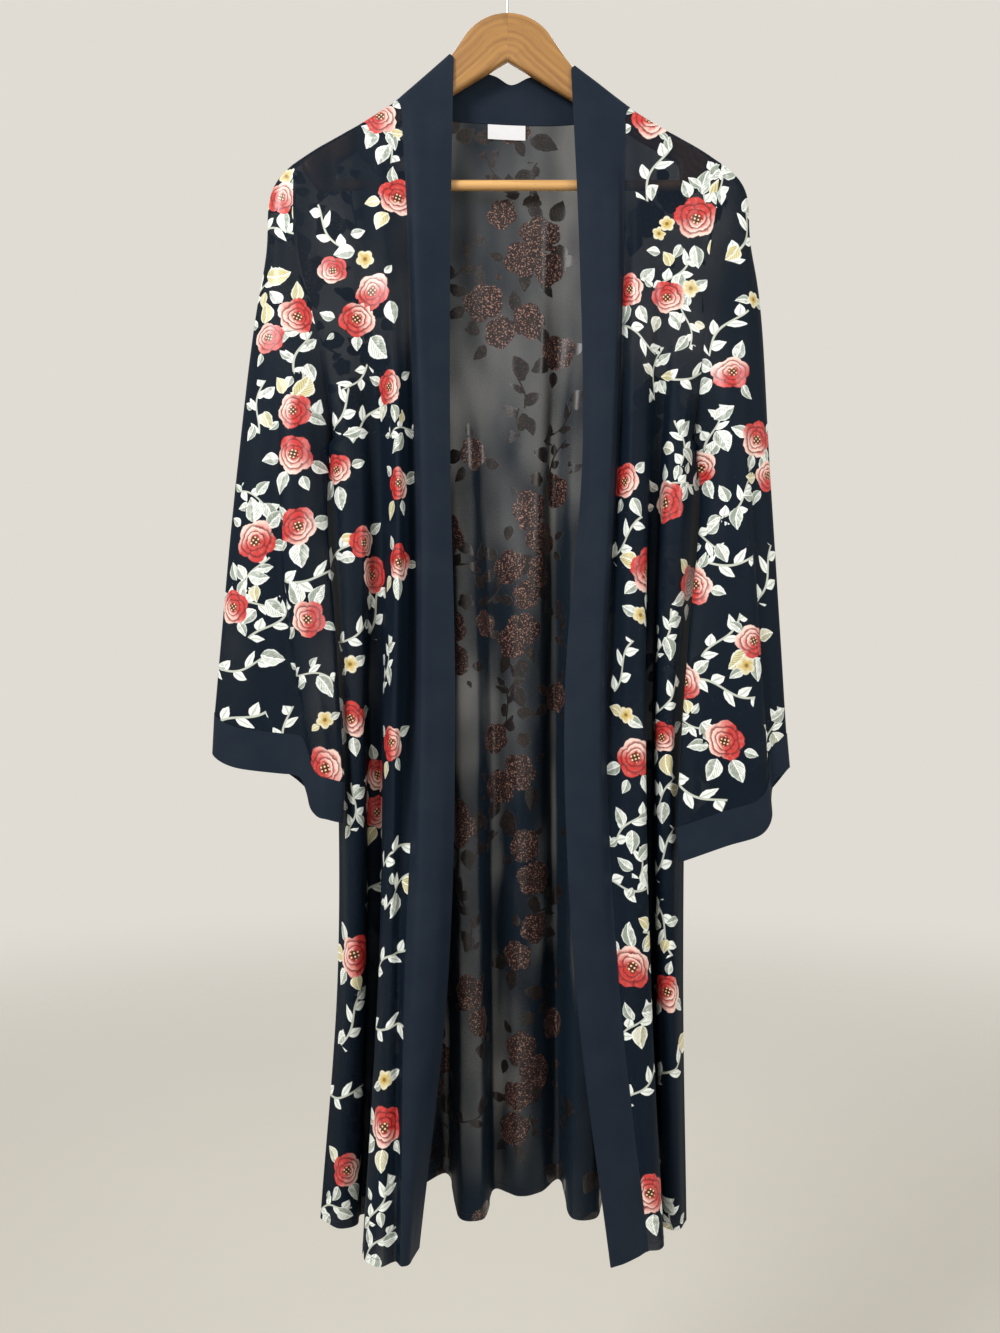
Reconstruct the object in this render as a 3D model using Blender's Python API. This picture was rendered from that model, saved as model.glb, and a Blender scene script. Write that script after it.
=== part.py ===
"""A long sheer kimono coat hanging open on a wooden hanger.

Metres, +Z up, +X to the right of someone facing the open front, which looks along -Y. The origin is the
highest point inside the wire hook, where the hanger hangs on a rail. Left and right below are the sides
seen from the front.

Every cloth piece is a thin wall on a middle surface. A surface is worked out from fold lines: each line
runs down the cloth along the top or the bottom of a fold, and a smooth curve across the lines gives the
section of the cloth at each row.
"""

from collections import namedtuple
import math

import bpy
import bmesh
import numpy as np

MM = 0.001

# Cloth and seams
MESH_WALL = 1.2 * MM  # the sheer printed cloth
DOUBLE_WALL = 2.2 * MM  # bands, folded double
CUFF_WALL = 1.8 * MM
LABEL_WALL = 1.0 * MM
SEAM_GAP = 0.3 * MM

# Hanger
ARM_THICK = 13.0 * MM
ARM_ROUND = 5.0 * MM  # radius along the arms' edges
DOME_RADIUS = 52.0 * MM
DOME_REACH = 45.0 * MM
WOOD_TOP = -61.0 * MM
NOTCH_DROP = 48.0 * MM  # from the top of the dome to the notch under it
UNDERSIDE_FALL = 0.6
LOBE_START = 170.0 * MM  # the arms' ends grow deeper from here, to hold the bar
LOBE_RISE = 22.0 * MM
LOBE_DEPTH = 40.0 * MM
LOBE_TAPER = 0.9
BAR_RADIUS = 5.25 * MM
BAR_HEIGHT = -232.5 * MM
BAR_REACH = 186.0 * MM
BORE_SLACK = 0.35 * MM
WIRE_RADIUS = 1.6 * MM
HOOK_RADIUS = 19.0 * MM  # to the middle of the wire
HOOK_SWEEP = (-38, 200)  # degrees round the hook, from where its neck comes in to its tip
HOOK_NECK = ((0.0, -50.0), (0.8, -43.5), (6.0, -37.0))  # across and height where the wire leaves the wood
SHANK_DEPTH = 22.0 * MM  # how far the wire goes into the wood

# The cloth's path over the arms
REST_LIFT = 1.7 * MM  # from the wood to the middle of the cloth
WRAP_ANGLES = (30, 60, 90)  # degrees round the arm's edge

# Across the shoulders, where each band's seam and its free edge pass over the arm
LEFT_NECK, LEFT_FREE = -109.0 * MM, -57.0 * MM
RIGHT_NECK, RIGHT_FREE = 120.0 * MM, 66.0 * MM

# Rows down the cloth, as a share of the way from the arm to the hem
ROWS = (0.0, 0.06, 0.12, 0.185, 0.255, 0.335, 0.42, 0.505, 0.59, 0.675, 0.76, 0.845, 0.925, 1.0)
UNDERARM_ROW = 4
SIDE_PARTS = 3  # from the last fold line to the right side
CHORD_POWER = 0.7
WRAP_ROWS = len(WRAP_ANGLES)
LEVELS = (300, 500, 750, 1020)  # millimetres below the hook, where the fold lines are given

# The arms' upper edge beyond the dome: distance from the middle and drop below the dome's top
ARM_EDGE = ((45, 26), (58, 45), (75, 65), (100, 83), (145, 112), (200, 144), (213, 153))

UNDERARM_DEPTH = 6.0 * MM  # where front, back and sleeve meet under the arm

# One armhole, from the shoulder's tip to the underarm
Armhole = namedtuple("Armhole", "share left right front back")
ARMHOLE = (
    Armhole(0.00, -213, 211, -8, 8),
    Armhole(0.17, -213, 206, -10, 10),
    Armhole(0.32, -210, 200, -12, 13),
    Armhole(0.53, -194, 196, -12, 16),
    Armhole(0.72, -184, 193, -8, 15),
    Armhole(0.87, -179, 190, -2, 12),
    Armhole(1.00, -175, 186, 5, 7),
)

# A fold line: where it starts on the shoulder or the neck seam, where it is at each of the four levels,
# and where it meets the hem. Pairs are across and back, and the hem adds how far it is below the hook.
Fold = namedtuple("Fold", "top yoke chest waist hip hem parts")

SIDE_LEFT = Fold(-213, (-210, 0), (-190, 18), (-174, 16), (-171, 11), (-191, 28, 1277), 0)
SIDE_RIGHT = Fold(211, (200, 0), (199, 18), (182, 16), (177, 12), (182, 24, 1277), 0)

LEFT_FOLDS = (
    Fold(-199, (-187, -14), (-167, -12), (-155, -13), (-154, -12), (-168, 8, 1279), 3),
    Fold(-184, (-171, -16), (-148, -12), (-145, -8), (-143, -4), (-153, 16, 1279), 3),
    Fold(-172, (-158, -17), (-136, 0), (-139, 14), (-142, 27), (-151, 37, 1277), 3),
    Fold(-163, (-149, -17), (-128, 0), (-130, 14), (-132, 27), (-141, 37, 1277), 2),
    Fold(-148, (-133, -18), (-116, -18), (-120, -20), (-125, -34), (-137, -58, 1280), 5),
    Fold(-132, (-119, -20), (-108, -28), (-110, -34), (-114, -50), (-121, -72, 1281), 3),
    Fold(-120, (-107, -16), (-100, -16), (-101, -18), (-106, -43), (-107, -62, 1280), 3),
    Fold(-109, (-98, -12), (-93, -10), (-91, -13), (-99, -51), (-101, -72, 1280), 2),
)
LEFT_BAND = (
    Fold(0.22, (-92, -20), (-85, -25), (-84, -31), (-87, -60), (-96, -68, 1281), 2),
    Fold(0.60, (-76, -19), (-70, -25), (-68, -30), (-71, -55), (-92, -53, 1281), 2),
    Fold(1.00, (-57, -14), (-57, -20), (-52, -24), (-59, -38), (-87, -33, 1280), 2),
)

RIGHT_FOLDS = (
    Fold(120, (115, -13), (109, -11), (97, -15), (108, -34), (136, -40, 1280), 2),
    Fold(131, (126, -20), (121, -26), (118, -30), (122, -37), (146, -38, 1280), 2),
    Fold(146, (141, -19), (135, -20), (133, -26), (138, -28), (152, -30, 1280), 2),
    Fold(160, (153, -17), (146, 0), (139, 13), (141, 25), (146, 30, 1277), 4),
    Fold(168, (161, -17), (153, 0), (146, 13), (148, 25), (154, 30, 1277), 2),
    Fold(180, (172, -16), (159, -15), (149, -10), (151, -4), (158, 11, 1279), 3),
    Fold(196, (186, -13), (172, -18), (159, -18), (162, -12), (170, 4, 1279), 3),
)
RIGHT_BAND = (
    Fold(0.22, (108, -21), (101, -26), (89, -32), (94, -41), (124, -51, 1281), 0),
    Fold(0.60, (91, -20), (86, -25), (75, -29), (79, -49), (111, -63, 1281), 2),
    Fold(1.00, (71, -14), (74, -19), (56, -22), (65, -54), (97, -75, 1280), 2),
)

BACK_FOLDS = (
    Fold(-196, (-190, 12), (-158, 24), (-157, 33), (-159, 42), (-166, 57, 1270), 4),
    Fold(-168, (-164, 16), (-138, 17), (-136, 30), (-137, 45), (-141, 55, 1264), 4),
    Fold(-138, (-138, 14), (-113, 26), (-112, 37), (-112, 52), (-114, 66, 1254), 4),
    Fold(-109, (-112, 17), (-89, 14), (-87, 19), (-88, 26), (-91, 36, 1247), 4),
    Fold(-82, (-86, 16), (-68, 25), (-65, 38), (-63, 52), (-64, 66, 1246), 5),
    Fold(-61, (-64, 19), (-52, 15), (-47, 15), (-46, 15), (-45, 9, 1271), 4),
    Fold(-53, (-56, 19), (-41, 14), (-32, 15), (-30, 15), (-26, 10, 1271), 3),
    Fold(-26, (-34, 16), (-22, 27), (-15, 38), (-14, 50), (-12, 61, 1260), 5),
    Fold(2, (4, 17), (12, 16), (12, 22), (12, 31), (12, 46, 1262), 5),
    Fold(32, (33, 18), (33, 19), (33, 27), (34, 38), (35, 53, 1260), 3),
    Fold(62, (55, 25), (47, 37), (48, 46), (50, 57), (53, 66, 1252), 3),
    Fold(88, (80, 18), (68, 18), (66, 20), (67, 19), (67, 11, 1271), 5),
    Fold(96, (88, 18), (79, 17), (79, 19), (82, 19), (87, 12, 1271), 3),
    Fold(120, (113, 19), (98, 31), (96, 43), (101, 51), (105, 64, 1262), 5),
    Fold(150, (140, 15), (123, 17), (120, 26), (124, 33), (127, 40, 1262), 4),
    Fold(181, (168, 15), (149, 27), (147, 38), (150, 47), (153, 59, 1268), 4),
)
NECK_FOLDS = (4, 12)  # the first and last of the back's fold lines that start on the neck seam

# The neck seam and the neck band's upper edge, behind the hanger: across, back, below the hook
NECK_SEAM = (
    (-88, 12.0, 157),
    (-57, 14.5, 162),
    (-20, 17.0, 164),
    (17, 17.5, 165.5),
    (55, 16.0, 166),
    (95, 12.5, 163),
)
NECK_EDGE = (
    (-46, 11.5, 111),
    (-30, 13.5, 113),
    (-12, 15.5, 117),
    (3, 16.5, 125),
    (22, 15.5, 118),
    (48, 12.0, 116),
)
NECK_BAND_SHARES = (0.0, 0.33, 0.67, 1.0)  # from the seam to the upper edge
NECK_PARTS = 14
NECK_FADE = (1.0, 0.6, 0.25)  # how much of the neck seam's curve the rows from it keep

# A sleeve's lines, from the top line round the front to the underarm line and back: which of the ring's
# points it starts from, then across, back and below the hook at the upper arm, the elbow and the cuff seam
Line = namedtuple("Line", "ring upper elbow cuff")
RING_PARTS = 30  # 3 over the arm and 4 times 3 down the armhole, on the front and on the back
LEFT_SLEEVE = (
    Line(0, (-248, 4, 337), (-272, 6, 527), (-293, 6, 759)),
    Line(4, (-238, -12, 372), (-256, -10, 552), (-264, -9, 775)),
    Line(6, (-231, -15, 398), (-238, -11, 583), (-222, -9, 780)),
    Line(7, (-227, -16, 410), (-226, -11, 597), (-210, -10, 781)),
    Line(8, (-223, -17, 421), (-222, -15, 606), (-202, -13, 785)),
    Line(9, (-219, -18, 432), (-220, -19, 613), (-196, -17, 799)),
    Line(10, (-215, -19, 443), (-217, -23, 620), (-192, -22, 812)),
    Line(11, (-210, -20, 456), (-211, -26, 630), (-186, -27, 819)),
    Line(13, (-197, -18, 498), (-197, -26, 660), (-174, -31, 823)),
    Line(15, (-181, -4, 556), (-171, -15, 690), (-161, -25, 827)),
    Line(18, (-194, 10, 520), (-188, 4, 675), (-172, -9, 823)),
    Line(21, (-209, 16, 470), (-204, 14, 648), (-183, 8, 815)),
    Line(24, (-226, 17, 415), (-230, 17, 607), (-217, 17, 784)),
    Line(27, (-241, 13, 362), (-258, 14, 555), (-264, 15, 764)),
)
RIGHT_SLEEVE = (
    Line(0, (249, 4, 325), (263, 6, 527), (278, 6, 783)),
    Line(4, (241, -11, 350), (256, -6, 543), (269, -6, 788)),
    Line(6, (236, -15, 372), (250, -9, 560), (263, -8, 793)),
    Line(7, (234, -16, 383), (246, -11, 571), (259, -9, 802)),
    Line(8, (231, -17, 394), (243, -14, 580), (257, -14, 814)),
    Line(9, (228, -18, 405), (242, -18, 590), (257, -19, 826)),
    Line(10, (225, -19, 416), (239, -22, 598), (253, -24, 836)),
    Line(11, (221, -20, 430), (233, -25, 608), (245, -28, 844)),
    Line(13, (208, -19, 477), (214, -27, 648), (210, -31, 855)),
    Line(15, (193, -4, 548), (180, -18, 690), (168, -29, 870)),
    Line(18, (205, 10, 510), (197, 2, 675), (181, -9, 866)),
    Line(21, (219, 16, 458), (214, 14, 643), (195, 9, 855)),
    Line(24, (233, 17, 402), (236, 17, 600), (222, 17, 836)),
    Line(27, (243, 13, 352), (253, 14, 552), (254, 15, 814)),
)
SLEEVE_ROWS = (0.0, 0.055, 0.11, 0.18, 0.28, 0.40, 0.52, 0.64, 0.76, 0.88, 1.0)
SLEEVE_KNOTS = (0.0, 0.30, 0.62, 1.0)  # the ring, the upper arm, the elbow and the cuff seam
SLEEVE_HEAD = {"left": -13.5, "right": 15.0}  # how far each sleeve's head stands out beside the shoulder
LEFT_CUFF = (-2.0, 0.0, -40.0)  # from the cuff seam to its edge
RIGHT_CUFF = (3.0, 0.0, -34.0)

LABEL_LEFT, LABEL_RIGHT, LABEL_HIGH = -20.0 * MM, 18.0 * MM, 15.0 * MM
LABEL_DROP = 0.6 * MM  # under the neck seam

MESH_CLOTH = ("mesh_cloth", (0.012, 0.014, 0.022, 1.0), 0.55)
PLAIN_CLOTH = ("plain_cloth", (0.010, 0.014, 0.026, 1.0), 0.75)
LABEL_CLOTH = ("label_cloth", (0.85, 0.85, 0.84, 1.0), 0.6)
WOOD = ("wood", (0.42, 0.20, 0.06, 1.0), 0.4)
BAR_WOOD = ("bar_wood", (0.62, 0.36, 0.12, 1.0), 0.45)
STEEL = ("steel", (0.72, 0.72, 0.74, 1.0), 0.25)


def clear_scene():
    for item in list(bpy.data.objects):
        bpy.data.objects.remove(item, do_unlink=True)


def material(finish):
    """The Principled material of a finish, made once."""
    name, colour, roughness = finish
    found = bpy.data.materials.get(name)
    if found:
        return found
    made = bpy.data.materials.new(name)
    made.use_nodes = True
    shader = made.node_tree.nodes["Principled BSDF"]
    shader.inputs["Base Color"].default_value = colour
    shader.inputs["Roughness"].default_value = roughness
    shader.inputs["Metallic"].default_value = 1.0 if finish is STEEL else 0.0
    return made


def add_object(name, points, faces, finish):
    """A named object of these points and faces, with its faces turned outward."""
    mesh = bpy.data.meshes.new(name)
    mesh.from_pydata([tuple(float(c) for c in point) for point in points], [], faces)
    shape = bmesh.new()
    shape.from_mesh(mesh)
    bmesh.ops.recalc_face_normals(shape, faces=shape.faces)
    shape.to_mesh(mesh)
    shape.free()
    mesh.shade_smooth()
    mesh.set_sharp_from_angle(angle=math.radians(40))
    mesh.materials.append(material(finish))
    made = bpy.data.objects.new(name, mesh)
    bpy.context.scene.collection.objects.link(made)
    return made


# Curves

def smooth(knots, values, at):
    """A curve through values at knots, with slopes taken from the neighbours, read at the given places."""
    knots = np.asarray(knots, float)
    values = np.asarray(values, float).reshape(len(knots), -1)
    at = np.atleast_1d(np.asarray(at, float))
    step = np.diff(knots)[:, None]
    slope = np.diff(values, axis=0) / step
    tangent = np.empty_like(values)
    tangent[0], tangent[-1] = slope[0], slope[-1]
    tangent[1:-1] = (slope[:-1] * step[1:] + slope[1:] * step[:-1]) / (step[:-1] + step[1:])
    cell = np.clip(np.searchsorted(knots, at, side="right") - 1, 0, len(knots) - 2)
    length = step[cell]
    t = (at[:, None] - knots[cell][:, None]) / length
    return (
        values[cell] * (2 * t**3 - 3 * t**2 + 1)
        + tangent[cell] * length * (t**3 - 2 * t**2 + t)
        + values[cell + 1] * (3 * t**2 - 2 * t**3)
        + tangent[cell + 1] * length * (t**3 - t**2)
    )


def lerp(a, b, t):
    return a + (b - a) * t


def unit(vectors):
    """Vectors of length 1, and zero where there is no direction."""
    length = np.linalg.norm(vectors, axis=-1, keepdims=True)
    return vectors / np.where(length > 0, length, 1.0)


def across_lines(lines, parts, straight):
    """Rows of points across the fold lines. The first rows are straight from line to line, and the others are
    smooth curves whose knots lie by their chords.
    """
    starts = np.cumsum([0] + parts)
    columns = np.arange(starts[-1] + 1)
    rows = [
        np.stack([np.interp(columns, starts, lines[:, row, k]) for k in range(3)], axis=1)
        for row in range(straight)
    ]
    for row in range(straight, lines.shape[1]):
        points = lines[:, row]
        chord = np.linalg.norm(np.diff(points, axis=0), axis=1) ** CHORD_POWER
        knots = np.concatenate([[0.0], np.cumsum(chord)])
        rows.append(smooth(knots, points, np.interp(columns, starts, knots)))
    return np.array(rows)


def surface_normals(grid, closed=False):
    """Unit normals of a grid of rows and columns, which may close on itself across."""
    if closed:
        wide = np.concatenate([grid[:, -2:-1], grid, grid[:, 1:2]], axis=1)
        across = (wide[:, 2:] - wide[:, :-2])
    else:
        across = np.gradient(grid, axis=1)
    down = np.gradient(grid, axis=0)
    return unit(np.cross(down, across))


# Walls

def wall(name, grid, normals, thick, finish, closed=False, missing=None):
    """A thin solid on a grid of points: two skins half the thickness out along the normals, and a rim.

    Both skins are split along the same, shorter diagonals, so that they never cross. missing(row, column)
    leaves a cell out, and a closed grid's last column is its first.
    """
    rows, columns = grid.shape[:2]
    wide = columns - 1
    count = rows * (wide if closed else columns)
    flat = (grid[:, :wide] if closed else grid).reshape(count, 3)
    lean = (normals[:, :wide] if closed else normals).reshape(count, 3)
    stride = wide if closed else columns

    def point(row, column):
        return row * stride + (column % wide if closed else column)

    cells = []
    for row in range(rows - 1):
        for column in range(wide):
            if missing is None or not missing(row, column):
                a, b = point(row, column), point(row + 1, column)
                c, d = point(row + 1, column + 1), point(row, column + 1)
                if np.linalg.norm(flat[a] - flat[c]) < np.linalg.norm(flat[b] - flat[d]):
                    cells += [(a, b, c), (a, c, d)]
                else:
                    cells += [(a, b, d), (b, c, d)]
    borders = {}
    for cell in cells:
        for a, b in zip(cell, cell[1:] + cell[:1]):
            if (b, a) in borders:
                del borders[(b, a)]
            else:
                borders[(a, b)] = True
    faces = list(cells) + [tuple(i + count for i in reversed(cell)) for cell in cells]
    faces += [(b, a, a + count, b + count) for a, b in borders]
    points = np.concatenate([flat + lean * thick / 2, flat - lean * thick / 2])
    used = sorted({i for face in faces for i in face})
    place = {old: new for new, old in enumerate(used)}
    return add_object(name, points[used], [tuple(place[i] for i in face) for face in faces], finish)


def inward(border, inner):
    """Unit vectors from a border into the cloth beside it, square to the border."""
    along = unit(np.gradient(border, axis=0))
    way = inner - border
    return unit(way - along * np.sum(way * along, axis=-1, keepdims=True))


def draw_in(grid, row=None, column=None):
    """Moves one border row or column into its cloth by half of a seam's gap."""
    if row is not None:
        grid[row] += inward(grid[row], grid[1 if row == 0 else -2]) * SEAM_GAP / 2
    else:
        grid[:, column] += inward(grid[:, column], grid[:, 1 if column == 0 else -2]) * SEAM_GAP / 2


# Hanger

def arm_top(across):
    """Height of the wood's upper edge at a distance from the middle."""
    far = np.abs(np.atleast_1d(np.asarray(across, float)))
    dome = DOME_RADIUS - np.sqrt(np.maximum(DOME_RADIUS**2 - far**2, 0.0))
    edge = np.array(ARM_EDGE) * MM
    arm = smooth(edge[:, 0], edge[:, 1:], np.maximum(far, DOME_REACH))[:, 0]
    return WOOD_TOP - np.where(far <= DOME_REACH, dome, arm)


def arm_lean(across):
    """Unit vectors square to the upper edge, in the hanger's plane."""
    across = np.atleast_1d(np.asarray(across, float))
    small = 0.5 * MM
    rise = (arm_top(across + small) - arm_top(across - small)) / (2 * small)
    return unit(np.stack([-rise, np.zeros_like(rise), np.ones_like(rise)], axis=1))


def over_arm(base, lean, side):
    """The cloth's rows over the arm: the shoulder seam, then round the rounded edge. side is -1 in front.

    base is on the wood's edge, and the cloth keeps REST_LIFT from wood with edges of ARM_ROUND.
    """
    radius = ARM_ROUND + REST_LIFT
    flat = ARM_THICK / 2 - ARM_ROUND
    rows = [base + lean * REST_LIFT]
    for angle in WRAP_ANGLES:
        turn = math.radians(angle)
        out = side * (flat + radius * math.sin(turn))
        rows.append(base + lean * (radius * math.cos(turn) - ARM_ROUND) + np.array([0.0, out, 0.0]))
    return np.array(rows)


def arm_stations():
    """Distances from the middle, closer together over the dome."""
    dome = [DOME_RADIUS * math.sin(math.radians(a)) for a in (0.3, 10, 20, 30, 40, 50)]
    arm = [d * MM for d in (45, 51, 58, 66, 76, 90, 110, 135, 165, 182, 193, 204, 209)]
    return np.array(sorted(dome + arm))


def build_arm(name, side):
    """One arm: a rounded section carried from the middle out, along lines square to the upper edge."""
    along = arm_stations()
    top = np.stack([side * along, np.zeros_like(along), arm_top(along)], axis=1)
    lean = arm_lean(side * along)
    fall = WOOD_TOP - NOTCH_DROP
    reach = (top[:, 2] - fall + UNDERSIDE_FALL * along) / (lean[:, 2] + UNDERSIDE_FALL * np.abs(lean[:, 0]))
    depth = np.maximum(reach, LOBE_DEPTH * np.clip((along - LOBE_START) / LOBE_RISE, 0, 1))
    rings = []
    turns = np.radians([0, 30, 60, 90])
    for k, (start, normal) in enumerate(zip(top, lean)):
        size = 1.0 if k < len(along) - 1 else LOBE_TAPER
        half = ARM_THICK / 2 * size
        middle = start - normal * depth[k] / 2
        high = depth[k] / 2 * size
        ring = []
        for sy, sz in ((1, 1), (1, -1), (-1, -1), (-1, 1)):
            corner = turns if sy * sz > 0 else turns[::-1]
            for turn in corner:
                y = sy * (half - ARM_ROUND * (1 - math.sin(turn)))
                z = sz * (high - ARM_ROUND * (1 - math.cos(turn)))
                ring.append(middle + normal * z + np.array([0.0, y, 0.0]))
        rings.append(ring)
    rings = np.array(rings)
    rings[0, :, 0] = side * SEAM_GAP / 2
    count = rings.shape[1]
    faces = []
    for k in range(len(rings) - 1):
        for i in range(count):
            j = (i + 1) % count
            faces.append((k * count + i, k * count + j, (k + 1) * count + j, (k + 1) * count + i))
    faces.append(tuple(range(count)))
    faces.append(tuple(range((len(rings) - 1) * count, len(rings) * count)))
    return add_object(name, rings.reshape(-1, 3), faces, WOOD)


def add_rod(name, path, radius, sides, finish):
    """A round rod along a path: a ring at each point, square to the way, and flat ends."""
    path = np.array(path)
    way = unit(np.gradient(path, axis=0))
    up = np.array([0.0, 1.0, 0.0])
    first = unit(np.cross(way, up))
    second = np.cross(way, first)
    turns = np.arange(sides) * 2 * math.pi / sides + math.pi / sides
    radius = radius / math.cos(math.pi / sides)
    rings = (
        path[:, None]
        + radius * np.cos(turns)[None, :, None] * first[:, None]
        + radius * np.sin(turns)[None, :, None] * second[:, None]
    )
    faces = []
    for k in range(len(path) - 1):
        for i in range(sides):
            j = (i + 1) % sides
            faces.append((k * sides + i, k * sides + j, (k + 1) * sides + j, (k + 1) * sides + i))
    faces.append(tuple(range(sides)))
    faces.append(tuple(range((len(path) - 1) * sides, len(path) * sides)))
    return add_object(name, rings.reshape(-1, 3), faces, finish)


def cut(target, cutter):
    """Cuts a hidden tool's shape out of a piece."""
    cutter.hide_render = True
    cutter.display_type = "WIRE"
    boolean = target.modifiers.new("bore", "BOOLEAN")
    boolean.operation = "DIFFERENCE"
    boolean.solver = "EXACT"
    boolean.object = cutter


def build_hanger():
    arms = [build_arm("hanger_arm_left", -1), build_arm("hanger_arm_right", 1)]

    reach = BAR_REACH
    bar = np.array([[-reach, 0, BAR_HEIGHT], [0, 0, BAR_HEIGHT], [reach, 0, BAR_HEIGHT]])
    add_rod("hanger_bar", bar, BAR_RADIUS, 16, BAR_WOOD)
    bar[0, 0] -= BORE_SLACK
    bar[2, 0] += BORE_SLACK
    bar_tool = add_rod("bar_bore", bar, BAR_RADIUS + BORE_SLACK, 16, BAR_WOOD)

    centre = WIRE_RADIUS - HOOK_RADIUS
    sweep = np.radians(np.linspace(*HOOK_SWEEP, 22))
    arc = np.stack([HOOK_RADIUS * np.cos(sweep), 0 * sweep, centre + HOOK_RADIUS * np.sin(sweep)], axis=1)
    foot = WOOD_TOP - SHANK_DEPTH
    shank = [[0.0, 0.0, foot], [0.0, 0.0, WOOD_TOP]] + [[x * MM, 0.0, z * MM] for x, z in HOOK_NECK]
    add_rod("hanger_hook", np.concatenate([shank, arc]), WIRE_RADIUS, 8, STEEL)
    drill = np.array([[0, 0, foot - BORE_SLACK], [0, 0, foot / 2 + WOOD_TOP / 2], [0, 0, WOOD_TOP + 5 * MM]])
    shank_tool = add_rod("shank_bore", drill, WIRE_RADIUS + BORE_SLACK, 8, STEEL)
    for arm in arms:
        cut(arm, bar_tool)
        cut(arm, shank_tool)


# Body of the coat

def below(start, drop_ends, table):
    """Rows of one fold line below its start: across and back follow the table with the height."""
    heights = -np.array([row[0] for row in table]) * MM
    places = np.array([row[1:] for row in table]) * MM
    z = lerp(start[2], drop_ends, np.array(ROWS))
    knots = np.concatenate([[-start[2]], -heights])
    values = np.concatenate([start[None, :2], places])
    x_y = smooth(knots, values, -z)
    return np.column_stack([x_y, z])


def fold_rows(start, fold):
    levels = [(level, *place) for level, place in zip(LEVELS, (fold.yoke, fold.chest, fold.waist, fold.hip))]
    levels.append((fold.hem[2], fold.hem[0], fold.hem[1]))
    return below(start, -fold.hem[2] * MM, levels)


def shoulder_line(across, side):
    """The rows over the arm at one place on the shoulder."""
    base = np.array([[across, 0.0, arm_top(across)[0]]])
    return over_arm(base, arm_lean(across), side)[:, 0]


def fold_line(fold, side):
    """A whole fold line that starts on the shoulder."""
    over = shoulder_line(fold.top * MM, side)
    return np.concatenate([over[:-1], fold_rows(over[-1], fold)])


def side_line(fold, side):
    """The armhole's edge and the side seam under it. side is -1 on the front and 1 on the back."""
    over = shoulder_line(fold.top * MM, side)
    rows = fold_rows(over[-1], fold)
    top, bottom = over[-1, 2], rows[UNDERARM_ROW, 2]
    share = [a.share for a in ARMHOLE]
    out = [(a.left if fold.top < 0 else a.right) * MM for a in ARMHOLE]
    deep = [(a.front if side < 0 else a.back) * MM for a in ARMHOLE]
    edge = smooth(share, np.stack([out, deep], axis=1), (rows[: UNDERARM_ROW + 1, 2] - top) / (bottom - top))
    edge[0] = over[-1, :2]
    edge[-1, 1] = UNDERARM_DEPTH
    rows[: UNDERARM_ROW + 1, :2] = edge
    under = rows[UNDERARM_ROW:]
    knots = np.linspace(0, 1, len(under))
    blend = (1 - np.clip(knots * 8, 0, 1))[:, None]
    under[:, :2] += (edge[-1] - under[0, :2]) * blend
    return np.concatenate([over[:-1], rows])


def band_line(fold, seam, free, side=-1):
    """A fold line of a band, which crosses the arm on a straight line from its seam to its free edge."""
    base, lean = band_base(seam, free, fold.top)
    over = over_arm(base[None], lean[None], side)[:, 0]
    return np.concatenate([over[:-1], fold_rows(over[-1], fold)])


def band_base(seam, free, share):
    ends = np.array([[seam, 0.0, arm_top(seam)[0]], [free, 0.0, arm_top(free)[0]]])
    way = ends[1] - ends[0]
    lean = unit(np.array([-way[2], 0.0, way[0]]))
    if lean[2] < 0:
        lean = -lean
    return lerp(ends[0], ends[1], share), lean


def neck_curve(seam, free, points, count, share):
    """One edge of the neck band behind the hanger, from over the left arm to over the right arm."""
    ends = []
    for neck, edge in ((seam[0], free[0]), (seam[1], free[1])):
        if share == 0:
            ends.append(shoulder_line(neck, 1))
        else:
            base, lean = band_base(neck, edge, share)
            ends.append(over_arm(base[None], lean[None], 1)[:, 0])
    middle = np.array([(x, y, -z) for x, y, z in points]) * MM
    through = np.concatenate([ends[0][-1:], middle, ends[1][-1:]])
    chord = np.linalg.norm(np.diff(through, axis=0), axis=1)
    knots = np.concatenate([[0.0], np.cumsum(chord)])
    behind = smooth(knots, through, np.linspace(0, knots[-1], count + 1))
    return np.concatenate([ends[0][:-1], behind, ends[1][:-1][::-1]])


def lay_on_arm(grid, columns, side):
    """Lays the rows over the arm exactly on its edge, without moving them across, and returns the way up."""
    across = grid[0, columns, 0]
    base = np.stack([across, 0 * across, arm_top(across)], axis=1)
    up = arm_lean(across)
    grid[: WRAP_ROWS + 1, columns] = over_arm(base, up, side)
    return up


def build_front(lines, parts, panel, band, neck, free):
    """One front with its band, as one surface: panel and band are the columns of each, both with the seam."""
    grid = across_lines(np.array(lines), parts, straight=WRAP_ROWS)
    up = lay_on_arm(grid, panel, -1)
    normals = surface_normals(grid)
    normals[0] = band_base(neck, free, 0)[1]
    normals[0, panel] = up
    return (grid[:, panel], normals[:, panel]), (grid[:, band], normals[:, band])


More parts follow.
